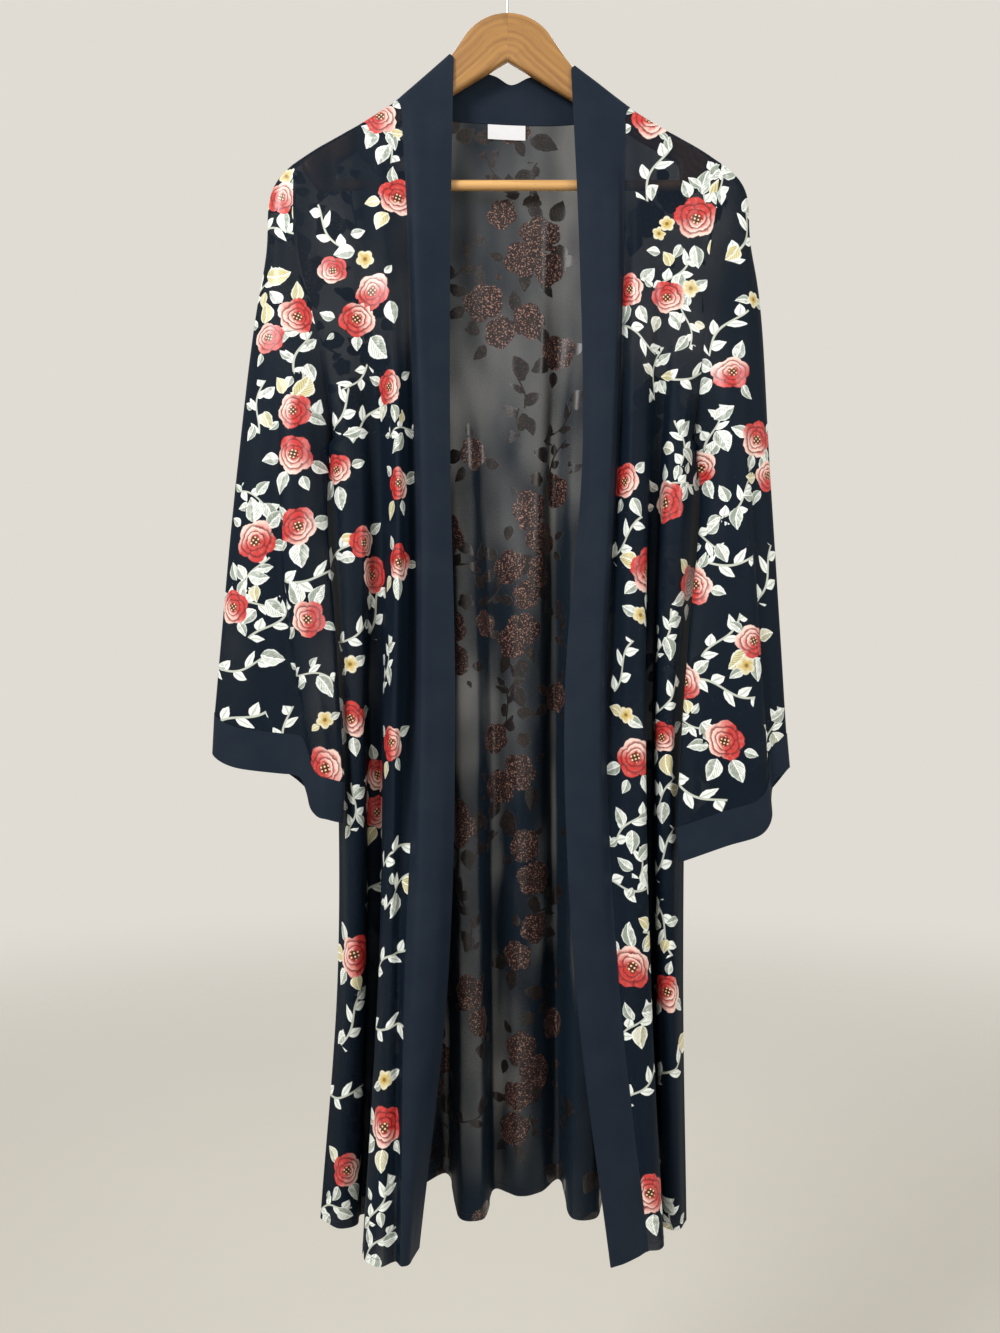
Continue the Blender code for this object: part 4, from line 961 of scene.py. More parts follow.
def add_piece(
    name: str,
    points: Array,
    faces: Array | list,
    materials: Sequence[Material],
    replaces: Sequence[str] = (),
    slots: Array | None = None,
    sharp: float = 50.0,
) -> bpy.types.Object:
    """A named mesh that rides on the part and stands for its nodes.

    Args:
        name: the piece's name.
        points: its points, in metres.
        faces: the point numbers of each face, outward.
        materials: its materials.
        replaces: the nodes it stands for.
        slots: the material number of each face, or None where there is one.
        sharp: the angle in degrees from which an edge isn't shaded smooth.

    Returns:
        The object.
    """
    mesh = bpy.data.meshes.new(name)
    mesh.from_pydata(np.asarray(points, float).tolist(), [], [tuple(int(i) for i in face) for face in faces])
    for one in materials:
        mesh.materials.append(one)
    if slots is not None:
        mesh.polygons.foreach_set("material_index", np.asarray(slots, np.int32))
    mesh.shade_smooth()
    mesh.set_sharp_from_angle(angle=math.radians(sharp))
    mesh.update()
    made = add_object(name, mesh)
    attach(made, "root")
    if replaces:
        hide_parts(*replaces)
    return made


def store(made: bpy.types.Object, name: str, domain: str, values: Array) -> None:
    """Stores a number or a vector on each point or face corner. Vectors have three in the last axis."""
    vectors = values.shape[-1] == 3
    data = made.data.attributes.new(name, "FLOAT_VECTOR" if vectors else "FLOAT", domain)
    data.data.foreach_set("vector" if vectors else "value", values.reshape(-1).astype(np.float32))


def view_place(points: Array) -> tuple[Array, Array]:
    """Where points show from the front: the view's middle plus their offset times 1300 over the distance."""
    mm = points / MM
    near = -VIEW_EYE[1] / (mm[..., 1] - VIEW_EYE[1])
    across = VIEW_MIDDLE[0] + (mm[..., 0] - VIEW_EYE[0]) * near
    down = VIEW_MIDDLE[1] - (mm[..., 2] - VIEW_EYE[2]) * near
    return across, down


@dataclass
class Sheet:
    """A cloth piece: a grid of points with outward normals, its thickness and its print."""

    name: str
    grid: Array
    normals: Array
    thick: float
    closed: bool = False
    spots: Sequence[Spot] = ()
    facing: float = 1.0
    filled: bool = False
    missing: Callable[[Array, Array], Array] | None = None
    over_arm: bool = False
    crease: float = 0.0
    seed: int = 1
    pitch: float = 0.022
    own: Array = field(init=False)
    girth: Array = field(init=False)

    def __post_init__(self) -> None:
        """Works out the cloth's own coordinates.

        Across is the level arc length from one column, which keeps its own place across. Down is the drop,
        and over the arm the arc length up from the rows below it.
        """
        step = np.linalg.norm(np.diff(self.grid[..., :2], axis=1), axis=2)
        arc = np.concatenate([np.zeros((len(self.grid), 1)), np.cumsum(step, axis=1)], axis=1)
        self.girth = arc[:, -1]
        middle = 0 if self.closed else arc.shape[1] // 2
        across = arc - arc[:, middle : middle + 1] + self.hand() * self.grid[:, middle : middle + 1, 0]
        down = -self.grid[..., 2]
        if self.over_arm:
            rise = np.linalg.norm(np.diff(self.grid[: OVER_ROWS + 1], axis=0), axis=2)
            down[:OVER_ROWS] = down[OVER_ROWS] - np.cumsum(rise[::-1], axis=0)[::-1]
        self.own = np.stack([across, down], axis=2)
        if self.crease:
            self.add_creases()

    def add_creases(self) -> None:
        """Moves the points along the normals by soft ripples that fade out at the borders."""
        rows, columns = self.grid.shape[:2]
        height = ripples(self.own[..., 0], self.own[..., 1], self.seed, self.pitch, self.crease)
        fade_down = np.clip(np.arange(rows) / FADE_ROWS, 0, 1)[:, None]
        if self.closed:
            fade_across = np.ones(columns)[None, :]
            share = np.arange(columns) / (columns - 1)
            height = height * np.sin(np.pi * share)[None, :] ** 0.5
        else:
            near = np.minimum(np.arange(columns), np.arange(columns)[::-1])
            fade_across = np.clip(near / FADE_COLUMNS, 0, 1)[None, :]
        self.grid = self.grid + self.normals * (height * fade_down * fade_across)[..., None]
        self.normals = self.normals if self.closed else self.oriented(surface_normals(self.grid))

    def oriented(self, normals: Array) -> Array:
        """The normals turned to the side that the old ones point to, with the old ones kept at the border."""
        same = np.sign(np.sum(normals * self.normals, axis=2, keepdims=True))
        made = normals * np.where(same == 0, 1, same)
        made[[0, -1]] = self.normals[[0, -1]]
        made[:, [0, -1]] = self.normals[:, [0, -1]]
        return made

    def marks(self) -> Marks:
        """Every motif on this piece, by layer: across, down, turn, half length and variety."""
        rng = np.random.default_rng(self.seed + 50)
        found: Marks = {layer: [] for layer in LAYERS}
        across, down = view_place(self.grid)
        seen = self.normals[..., 1] * self.facing < SEEN_BACK
        hand = self.hand()
        for spot in self.spots:
            far = (across - spot.across) ** 2 + (down - spot.down) ** 2 + np.where(seen, 0.0, HIDDEN_COST)
            row, column = np.unravel_index(np.argmin(far), far.shape)
            self.add_spray(found, spot.spray, self.own[row, column], spot.turn, spot.mirrored, hand, rng)
        if self.filled:
            done = seen & self.closed
            done[:, -1] |= self.closed
            self.fill_rest(found, done, rng, hand)
        return found

    def hand(self) -> float:
        """1 where the cloth's across runs to the right seen from the front, and -1 where it runs left."""
        rows, columns = self.grid.shape[:2]
        quarter = columns // 4 if self.closed else columns // 2
        way = self.grid[rows // 2, quarter + 1, 0] - self.grid[rows // 2, quarter - 1, 0]
        return 1.0 if way > 0 else -1.0

    def add_spray(
        self,
        found: Marks,
        spray: Spray,
        centre: Array,
        turn: float,
        mirrored: bool,
        hand: float,
        rng: np.random.Generator,
    ) -> None:
        """Adds a spray's motifs to the layers, turned about its centre."""
        angle = math.radians(turn)
        flip = -1.0 if mirrored else 1.0
        leaves = 0
        for mark in spray.value:
            x, y = mark.across * flip * MM, mark.down * MM
            across = x * math.cos(angle) - y * math.sin(angle)
            down = x * math.sin(angle) + y * math.cos(angle)
            own_turn = math.radians(mark.turn if not mirrored else 180 - mark.turn) + angle
            layer = mark.motif.value
            if mark.motif is Motif.LEAF:
                layer = f"leaves_{leaves % 3}"
                leaves += 1
            grown = LEAF_SIZES if mark.motif is Motif.LEAF else OTHER_SIZES
            half = mark.half * MM * rng.uniform(*grown)
            if hand < 0:
                across, own_turn = -across, math.pi - own_turn
            found[layer].append((centre[0] + across, centre[1] + down, own_turn, half, rng.uniform(0, 1)))

    def fill_rest(
        self,
        found: Marks,
        done: Array,
        rng: np.random.Generator,
        hand: float,
    ) -> None:
        """Repeats the sprays over the cloth that the spots leave bare, on a half-drop repeat.

        Args:
            found: the motifs by layer, which this adds to.
            done: by row and column, true where no spray is filled in.
            rng: gives the small shifts and turns.
            hand: 1 where across runs to the right seen from the front, and -1 where it runs left.
        """
        low, high = self.own.reshape(-1, 2).min(axis=0), self.own.reshape(-1, 2).max(axis=0)
        order = (Spray.TRIO, Spray.BRANCH, Spray.OPEN, Spray.SHOOT, Spray.PAIR, Spray.TWIG, Spray.LONE)
        taken = np.array([mark[:2] for mark in found["roses"]] or [(NOWHERE, NOWHERE)])
        count = 0
        for i, across in enumerate(np.arange(low[0] + FILL_START, high[0], FILL_PITCH[0])):
            for down in np.arange(low[1] + (FILL_DROP if i % 2 else 0.0), high[1], FILL_PITCH[1]):
                place = np.array([across, down]) + rng.uniform(-FILL_SHIFT, FILL_SHIFT, 2)
                count += 1
                near = np.linalg.norm(self.own - place, axis=2)
                clear = near.min() < FILL_REACH and not done[near < FILL_CLEAR].any()
                if np.min(np.linalg.norm(taken - place, axis=1)) > FILL_GAP and (clear or not self.closed):
                    spray = order[count % len(order)]
                    self.add_spray(found, spray, place, rng.uniform(-40, 40), count % 2 == 0, hand, rng)

    def print_layers(self, corners: Array, circle: Array | None) -> dict[str, Array]:
        """The local place of every face corner in its face's nearest motif, by layer.

        Args:
            corners: the cloth's coordinates by face and corner.
            circle: the girth at each face where the cloth is a tube, or None.

        Returns:
            x, y and variety by face and corner: the offset turned back and divided by the half length.
        """
        middle = corners.mean(axis=1)
        layers = {}
        for layer, marks in self.marks().items():
            place = np.full((*corners.shape[:2], 3), NOWHERE)
            if marks:
                table = np.array(marks)
                across = self.around(middle[:, None, 0] - table[None, :, 0], circle)
                gap = np.hypot(across, middle[:, None, 1] - table[None, :, 1]) / table[None, :, 3]
                nearest = table[np.argmin(gap, axis=1)]
                dx = self.around(corners[..., 0] - nearest[:, None, 0], circle)
                dy = corners[..., 1] - nearest[:, None, 1]
                cos, sin = np.cos(nearest[:, 2])[:, None], np.sin(nearest[:, 2])[:, None]
                half = nearest[:, 3][:, None]
                place[..., 0] = (dx * cos + dy * sin) / half
                place[..., 1] = (dy * cos - dx * sin) / half
                place[..., 2] = nearest[:, 4][:, None]
            layers[layer] = place
        return layers

    @staticmethod
    def around(gap: Array, circle: Array | None) -> Array:
        """The gap across, taken the short way round a tube."""
        if circle is None:
            return gap
        return (gap + circle[:, None] / 2) % circle[:, None] - circle[:, None] / 2

    def build(self, materials: Sequence[Material], replaces: Sequence[str]) -> bpy.types.Object:
        """Makes the shell: two skins half the thickness out along the normals, joined by a rim.

        Args:
            materials: the right side's and the wrong side's.
            replaces: the nodes it stands for.

        Returns:
            The object, with the print's places on its face corners.
        """
        rows, columns = self.grid.shape[:2]
        wide = columns - 1
        stride = wide if self.closed else columns
        count = rows * stride
        half = self.normals * np.asarray(self.thick / 2).reshape(-1, 1, 1)
        flat = np.concatenate([(self.grid + half)[:, :stride].reshape(count, 3),
                               (self.grid - half)[:, :stride].reshape(count, 3)])
        row, column = np.meshgrid(np.arange(rows - 1), np.arange(wide), indexing="ij")
        row, column = row.ravel(), column.ravel()
        if self.missing is not None:
            keep = ~self.missing(row, column)
            row, column = row[keep], column[keep]
        r = np.stack([row, row + 1, row + 1, row], axis=1)
        c = np.stack([column, column, column + 1, column + 1], axis=1)
        down = self.grid[1, wide // 2] - self.grid[0, wide // 2]
        way = self.grid[1, wide // 2 + 1] - self.grid[1, wide // 2]
        if np.dot(np.cross(down, way), self.normals[1, wide // 2]) < 0:
            r, c = r[:, ::-1], c[:, ::-1]
        outer = r * stride + (c % stride if self.closed else c)
        edges = np.stack([outer, np.roll(outer, -1, axis=1)], axis=2).reshape(-1, 2)
        key = edges.min(axis=1) * count + edges.max(axis=1)
        _, first, times = np.unique(key, return_index=True, return_counts=True)
        border = edges[first[times == 1]]
        a, b = border[:, 0], border[:, 1]
        rim = np.stack([b, a, a + count, b + count], axis=1)
        faces = np.concatenate([outer, outer[:, ::-1] + count, rim])
        kinds = np.repeat([0, 1, 0], [len(outer), len(outer), len(rim)])
        used, faces = np.unique(faces, return_inverse=True)
        faces = faces.reshape(-1, 4)
        made = add_piece(self.name, flat[used], faces, materials, replaces, kinds)
        own = self.own.reshape(rows, columns, 2)
        skin = own[r, c]
        edge_rows, edge_columns = np.divmod(rim % count, stride)
        corners = np.concatenate([skin, skin[:, ::-1], own[edge_rows, edge_columns]])
        circle = None
        if self.closed:
            circle = self.girth[np.concatenate([r[:, 0], r[:, 0], edge_rows[:, 0]])]
        if self.spots or self.filled:
            for layer, place in self.print_layers(corners, circle).items():
                store(made, layer, "CORNER", place)
            # How far the cloth turns edge on to the front; the finish makes the mesh denser there, partly as
            # the real edge-on mesh and partly as painted shade in the folds
            slope = 1 - np.abs(self.normals[..., 1])
            fold = np.concatenate([slope[r, c], slope[r, c][:, ::-1], slope[edge_rows, edge_columns]])
            store(made, "fold", "CORNER", fold)
        self.lay_out(made, r, c, len(rim))
        return made

    def lay_out(self, made: bpy.types.Object, r: Array, c: Array, rims: int) -> None:
        """A flat layout with no overlaps: the right side, then the wrong side, and the rim in a strip."""
        rows, columns = self.grid.shape[:2]
        x = 0.005 + 0.48 * c / (columns - 1)
        y = 0.005 + 0.99 * (1 - r / (rows - 1))
        skin = np.stack([x, y], axis=2)
        wrong = skin[:, ::-1] + np.array([0.49, 0.0])
        low = np.arange(rims) / max(rims, 1)
        high = (np.arange(rims) + 0.8) / max(rims, 1)
        strip = np.stack([np.stack([np.full(rims, u), v], axis=1) for u, v in
                          ((0.985, low), (0.985, high), (0.995, high), (0.995, low))], axis=1)
        layout = made.data.uv_layers.new(name="OFBake")
        layout.data.foreach_set("uv", np.concatenate([skin, wrong, strip]).reshape(-1).astype(np.float32))

    def cut(self) -> tuple[float, float, float]:
        """The width, the length and the area that the cloth was cut to.

        Returns:
            The longest way across, the longest way down, and the cells' area, at most their product.
        """
        across = np.linalg.norm(np.diff(self.grid, axis=1), axis=2).sum(axis=1)
        down = np.linalg.norm(np.diff(self.grid, axis=0), axis=2).sum(axis=0)
        a = self.grid[1:, :-1] - self.grid[:-1, :-1]
        b = self.grid[:-1, 1:] - self.grid[:-1, :-1]
        cells = np.linalg.norm(np.cross(a, b), axis=2)
        if self.missing is not None:
            row, column = np.meshgrid(*(np.arange(n) for n in cells.shape), indexing="ij")
            cells = np.where(self.missing(row, column), 0.0, cells)
        width, length = float(across.max()), float(down.max())
        return width, length, min(float(cells.sum()), width * length)


# The hanger

@dataclass
class Hanger:
    """Two wooden arms glued at the middle, the bar between their ends, and the wire hook."""

    thick: float = 13.0 * MM
    edge_round: float = 5.0 * MM
    dome_radius: float = 52.0 * MM
    dome_reach: float = 45.0 * MM
    wood_top: float = -61.0 * MM
    notch_drop: float = 48.0 * MM
    fall: float = 0.6
    lobe: tuple[float, float, float] = (170.0 * MM, 22.0 * MM, 40.0 * MM)
    edge: Sequence[tuple[float, float]] = (
        (45, 26), (58, 45), (75, 65), (100, 83), (145, 112), (200, 144), (213, 153))
    bar_radius: float = 5.25 * MM
    bar_height: float = -232.5 * MM
    bar_reach: float = 186.0 * MM
    wire_radius: float = 1.6 * MM
    hook_radius: float = 19.0 * MM
    hook_sweep: tuple[float, float] = (-38.0, 200.0)
    rest_lift: float = 1.7 * MM
    wood: Varnish = Varnish("hanger_wood", (0.37, 0.190, 0.052), (0.20, 0.086, 0.022), (0.060, 0.024, 0.008))
    bar_wood: Varnish = Varnish("bar_wood", (0.62, 0.36, 0.130), (0.47, 0.25, 0.080), (0.22, 0.10, 0.03))

    def top(self, across: Array) -> Array:
        """The height of the wood's upper edge: a circle's top over the dome, then a smooth falling edge."""
        far = np.abs(np.atleast_1d(np.asarray(across, float)))
        dome = self.dome_radius - np.sqrt(np.maximum(self.dome_radius**2 - far**2, 0.0))
        edge = np.array(self.edge) * MM
        arm = smooth(edge[:, 0], edge[:, 1:], np.maximum(far, self.dome_reach))[:, 0]
        return self.wood_top - np.where(far <= self.dome_reach, dome, arm)

    def lean(self, across: Array) -> Array:
        """Unit vectors square to the upper edge, in the hanger's plane."""
        across = np.atleast_1d(np.asarray(across, float))
        small = 0.5 * MM
        rise = (self.top(across + small) - self.top(across - small)) / (2 * small)
        return unit(np.stack([-rise, np.zeros_like(rise), np.ones_like(rise)], axis=1))

    def over(self, base: Array, lean: Array, side: float) -> Array:
        """The cloth's rows over the arm: at each angle a circle's point round the wood's rounded edge."""
        radius = self.edge_round + self.rest_lift
        flat = self.thick / 2 - self.edge_round
        turn = np.radians(np.linspace(0, 90, OVER_ROWS + 1))[:, None, None]
        out = side * (flat * np.clip(turn / math.radians(30), 0, 1) + radius * np.sin(turn))
        rows = base + lean * (radius * np.cos(turn) - self.edge_round)
        return rows + out * np.array([0.0, 1.0, 0.0])

    def arm(self, side: float) -> tuple[Array, Array, list]:
        """One arm: a rounded section carried from the middle out, along lines square to the upper edge.

        Args:
            side: -1 for the left arm and 1 for the right.

        Returns:
            Its points, their place in the grain, and its faces.
        """
        dome = self.dome_radius * np.sin(np.radians(np.linspace(0.3, 56, 26)))
        along = np.concatenate([dome, np.linspace(45.0, 209.0, 56) * MM])
        top = np.stack([side * along, 0 * along, self.top(along)], axis=1)
        lean = self.lean(side * along)
        under = self.wood_top - self.notch_drop
        depth = (top[:, 2] - under + self.fall * along) / (lean[:, 2] + self.fall * np.abs(lean[:, 0]))
        start, rise, deep = self.lobe
        depth = np.maximum(depth, deep * np.clip((along - start) / rise, 0, 1))
        ending = np.clip((along - 203.5 * MM) / (5.5 * MM), 0, 1)
        size = np.sqrt(1 - 0.55 * ending**2)
        corner = np.radians(np.linspace(0, 90, 9))
        section = []
        for sy, sz, turns in ((1, 1, corner), (1, -1, corner[::-1]), (-1, -1, corner), (-1, 1, corner[::-1])):
            section += [(sy, sz, math.sin(t), math.cos(t)) for t in turns]
        sy, sz, sin, cos = np.array(section).T
        y = sy * (self.thick / 2 * size[:, None] - self.edge_round * (1 - sin))
        z = sz * (depth[:, None] / 2 * size[:, None] - self.edge_round * (1 - cos))
        middle = top - lean * depth[:, None] / 2
        rings = middle[:, None] + lean[:, None] * z[..., None] + y[..., None] * np.array([0.0, 1.0, 0.0])
        rings[0, :, 0] = side * 0.05 * MM
        count = len(section)
        length = np.repeat(along[:, None], count, axis=1)
        grain = np.stack([length, z, y + side * 0.05], axis=2)
        faces = tube_faces(len(along), count)
        if side > 0:
            faces = [face[::-1] for face in faces]
        return rings.reshape(-1, 3), grain.reshape(-1, 3), faces

    def rod(self, path: Array, radius: Array | float, sides: int) -> tuple[Array, Array, list]:
        """A round rod along a path: a ring at each point, square to the way, and closed ends."""
        way = unit(np.gradient(path, axis=0))
        first = unit(np.cross(way, np.array([0.0, 1.0, 0.0])))
        second = np.cross(way, first)
        turns = np.arange(sides) * 2 * math.pi / sides
        size = np.broadcast_to(np.asarray(radius, float), (len(path),))[:, None, None]
        ring = first[:, None] * np.cos(turns)[:, None] + second[:, None] * np.sin(turns)[:, None]
        rings = path[:, None] + size * ring
        length = arc_lengths(path)
        shape = (len(path), sides)
        grain = np.stack([np.broadcast_to(length[:, None], shape),
                          np.broadcast_to(size[..., 0] * np.cos(turns), shape),
                          np.broadcast_to(size[..., 0] * np.sin(turns), shape)], axis=2)
        return rings.reshape(-1, 3), grain.reshape(-1, 3), tube_faces(*shape)

    def hook_path(self) -> Array:
        """The wire's middle line: up out of the wood, over to the ring, and round it."""
        centre = self.wire_radius - self.hook_radius
        sweep = np.radians(np.linspace(*self.hook_sweep, 60))
        arc = np.stack([self.hook_radius * np.cos(sweep), 0 * sweep,
                        centre + self.hook_radius * np.sin(sweep)], axis=1)
        foot = np.array([[0, 0, -83.0], [0, 0, -61.0], [0, 0, -50.0], [0.8, 0, -43.5], [6.0, 0, -37.0]]) * MM
        through = np.concatenate([foot, arc[:3]])
        knots = arc_lengths(through)
        neck = smooth(knots, through, np.linspace(0, knots[-3], 50))
        return np.concatenate([neck[:-1], arc])

    def build(self) -> None:
        """Makes and dresses the arms, the bar and the hook."""
        wood, bar_wood, wire = self.wood.material(), self.bar_wood.material(), Wire().material()
        for name, side in (("hanger_arm_left", -1.0), ("hanger_arm_right", 1.0)):
            points, grain, faces = self.arm(side)
            self.finish(name, points, grain, faces, wood)
        bar = np.linspace([-self.bar_reach, 0, self.bar_height], [self.bar_reach, 0, self.bar_height], 40)
        self.finish("hanger_bar", *self.rod(bar, self.bar_radius, 32), bar_wood)
        path = self.hook_path()
        radius = np.full(len(path), self.wire_radius)
        radius[-1] *= 0.55
        points, grain, faces = self.rod(path, radius, 20)
        self.finish("hanger_hook", points, grain, faces, wire)

    def finish(self, name: str, points: Array, grain: Array, faces: list, material: Material) -> None:
        """Adds one piece with its grain attribute."""
        made = add_piece("looks_" + name, points, faces, [material], [name])
        store(made, "grain", "POINT", grain)
        log.info("%s: %d points", name, len(points))


# The body of the coat

@dataclass
class Body:
    """The fronts, the bands, the back and the neck band, all hung from the hanger's arms."""

    hanger: Hanger
    left_neck: float = -109.0 * MM
    left_free: float = -57.0 * MM
    right_neck: float = 120.0 * MM
    right_free: float = 66.0 * MM
    mesh_thick: float = 0.6 * MM
    band_thick: float = 1.8 * MM
    fineness: int = 4
    back_fineness: int = 3
    sheets: dict[str, Sheet] = field(default_factory=dict)
    rings: dict[str, tuple[Array, Array]] = field(default_factory=dict)

    def below(self, start: Array, fold: Fold) -> Array:
        """A fold line's fine rows below its start: across and back follow a smooth curve of the height."""
        places = (fold.yoke, fold.chest, fold.waist, fold.hip)
        levels = [(level, *place) for level, place in zip(LEVELS, places)]
        levels.append((fold.hem[2], fold.hem[0], fold.hem[1]))
        table = np.array(levels) * MM
        z = lerp(start[2], -fold.hem[2] * MM, fine_steps(ROW_SHARES, FINE_ROWS))
        knots = np.concatenate([[-start[2]], table[:, 0]])
        values = np.concatenate([start[None, :2], table[:, 1:]])
        return np.column_stack([smooth(knots, values, -z), z])

    def shoulder(self, across: float, side: float) -> Array:
        """The rows over the arm at one place on the shoulder."""
        base = np.array([[across, 0.0, self.hanger.top(across)[0]]])
        return self.hanger.over(base, self.hanger.lean(across), side)[:, 0]

    def line(self, fold: Fold, side: float) -> Array:
        """A whole fold line that starts on the shoulder. side is -1 on the front and 1 on the back."""
        over = self.shoulder(fold.top * MM, side)
        return np.concatenate([over[:-1], self.below(over[-1], fold)])

    def side_line(self, fold: Fold, side: float) -> Array:
        """The armhole's edge and the side seam under it."""
        over = self.shoulder(fold.top * MM, side)
        rows = self.below(over[-1], fold)
        under = UNDERARM_SHARE * FINE_ROWS
        top, bottom = over[-1, 2], rows[under, 2]
        table = np.array(ARMHOLE)
        place = table[:, [1 if fold.top < 0 else 2, 3 if side < 0 else 4]] * MM
        edge = smooth(table[:, 0], place, (rows[: under + 1, 2] - top) / (bottom - top))
        edge[0] = over[-1, :2]
        edge[:, 1] += (UNDERARM_DEPTH * MM - edge[-1, 1]) * np.linspace(0, 1, len(edge)) ** 8
        rows[: under + 1, :2] = edge
        rest = rows[under:]
        blend = (1 - np.clip(np.linspace(0, 1, len(rest)) * 8, 0, 1))[:, None]
        rest[:, :2] += (edge[-1] - rest[0, :2]) * blend
        return np.concatenate([over[:-1], rows])

    def chord(self, neck: float, free: float, share: float) -> tuple[Array, Array]:
        """A point on the straight chord over the arm from a band's seam to its free edge, and the way up."""
        ends = np.array([[neck, 0.0, self.hanger.top(neck)[0]], [free, 0.0, self.hanger.top(free)[0]]])
        way = ends[1] - ends[0]
        up = unit(np.array([-way[2], 0.0, way[0]]))
        return lerp(ends[0], ends[1], share), up if up[2] > 0 else -up

    def band_line(self, fold: Fold, neck: float, free: float) -> Array:
        """A fold line of a band, which crosses the arm on the chord."""
        base, up = self.chord(neck, free, fold.top)
        over = self.hanger.over(base[None], up[None], -1.0)[:, 0]
        return np.concatenate([over[:-1], self.below(over[-1], fold)])

    def lay_on_arm(self, grid: Array, columns: Array, side: float) -> Array:
        """Lays the rows over the arm exactly on its edge, and returns the way up at each column."""
        across = grid[0, columns, 0]
        base = np.stack([across, 0 * across, self.hanger.top(across)], axis=1)
        up = self.hanger.lean(across)
        grid[: OVER_ROWS + 1, columns] = self.hanger.over(base, up, side)
        return up

    def front(self, side: str) -> None:
        """One front and its band, cut from one smooth surface at the seam."""
        left = side == "left"
        neck, free = (self.left_neck, self.left_free) if left else (self.right_neck, self.right_free)
        folds, bands = (LEFT_FOLDS, LEFT_BAND) if left else (RIGHT_FOLDS, RIGHT_BAND)
        edge = self.side_line(SIDE_LEFT if left else SIDE_RIGHT, -1.0)
        panel_lines = [self.line(fold, -1.0) for fold in folds]
        band_lines = [self.band_line(fold, neck, free) for fold in bands]
        if left:
            lines = [edge] + panel_lines + band_lines
            parts = [fold.parts * self.fineness for fold in folds + bands]
            seam = sum(parts[: len(folds)])
        else:
            lines = band_lines[::-1] + panel_lines + [edge]
            parts = [fold.parts * self.fineness for fold in bands[:0:-1] + folds + (SIDE_RIGHT,)]
            seam = sum(parts[: len(bands)])
        grid = across_lines(np.array(lines), parts, OVER_ROWS)
        last = grid.shape[1]
        panel = np.arange(seam + 1) if left else np.arange(seam, last)
        band = np.arange(seam, last) if left else np.arange(seam + 1)
        up = self.lay_on_arm(grid, panel, -1.0)
        normals = surface_normals(grid)
        normals[0] = self.chord(neck, free, 0)[1]
        normals[0, panel] = up
        spots = FRONT_LEFT_SPOTS if left else FRONT_RIGHT_SPOTS
        self.sheets["front_" + side] = Sheet(
            "looks_front_" + side, grid[:, panel], normals[:, panel], self.mesh_thick, spots=spots,
            over_arm=True, crease=0.25 * MM, seed=3 if left else 4)
        self.sheets["front_band_" + side] = Sheet(
            "looks_front_band_" + side, grid[:, band], normals[:, band], self.band_thick,
            crease=0.35 * MM, seed=5, pitch=0.05)

    def neck_curve(self, points: Sequence[tuple], count: int, share: float) -> Array:
        """One edge of the neck band behind the hanger, from over the left arm to over the right arm."""
        ends = []
        for neck, free in ((self.left_neck, self.left_free), (self.right_neck, self.right_free)):
            if share == 0:
                ends.append(self.shoulder(neck, 1.0))
            else:
                base, up = self.chord(neck, free, share)
                ends.append(self.hanger.over(base[None], up[None], 1.0)[:, 0])
        middle = np.array([(x, y, -z) for x, y, z in points]) * MM
        through = np.concatenate([ends[0][-1:], middle, ends[1][-1:]])
        knots = arc_lengths(through)
        behind = smooth(knots, through, np.linspace(0, knots[-1], count + 1))
        return np.concatenate([ends[0][:-1], behind, ends[1][:-1][::-1]])

    def back(self) -> None:
        """The back, whose middle columns start on the neck seam, and the neck band above that seam."""
        neck = self.neck_curve(NECK_SEAM, 56, 0)
        behind = neck[OVER_ROWS:-OVER_ROWS]
        length = arc_lengths(behind)
        first, last = NECK_FOLDS
        lines = [self.side_line(SIDE_LEFT, 1.0)]
        for k, fold in enumerate(BACK_FOLDS):
            if first <= k <= last:
                share = (k - first + 1) / (last - first + 2)
                start = smooth(length, behind, share * length[-1])[0]
                over = np.repeat(start[None], OVER_ROWS, axis=0)
                lines.append(np.concatenate([over, self.below(start, fold)]))
            else:
                lines.append(self.line(fold, 1.0))
        lines.append(self.side_line(SIDE_RIGHT, 1.0))
        parts = [fold.parts * self.back_fineness for fold in BACK_FOLDS] + [4 * self.back_fineness]
        grid = across_lines(np.array(lines), parts, OVER_ROWS)
        starts = np.cumsum([0] + parts)
        left_column, right_column = starts[first], starts[last + 2]
        shoulders = np.r_[0 : left_column + 1, right_column : grid.shape[1]]
        up = self.lay_on_arm(grid, shoulders, 1.0)
        inside = np.arange(left_column, right_column + 1)
        on_seam = smooth(length, behind, np.linspace(0, length[-1], len(inside)))
        shift = on_seam - grid[OVER_ROWS, inside]
        fade = np.interp(np.arange(3 * FINE_ROWS) / FINE_ROWS, (0, 1, 2, 3), (1.0, 0.6, 0.25, 0.0))
        grid[OVER_ROWS : OVER_ROWS + len(fade), inside] += shift[None] * fade[:, None, None]
        grid[:OVER_ROWS, inside[1:-1]] = on_seam[None, 1:-1]
        normals = -surface_normals(grid)
        for column, beside in ((left_column, left_column - 1), (right_column, right_column + 1)):
            normals[:OVER_ROWS, column] = normals[:OVER_ROWS, beside]
        normals[0, shoulders] = up

        def over_neck(row: Array, column: Array) -> Array:
            """Cells above the neck seam, which the back doesn't have."""
            return (row < OVER_ROWS) & (column >= left_column) & (column < right_column)

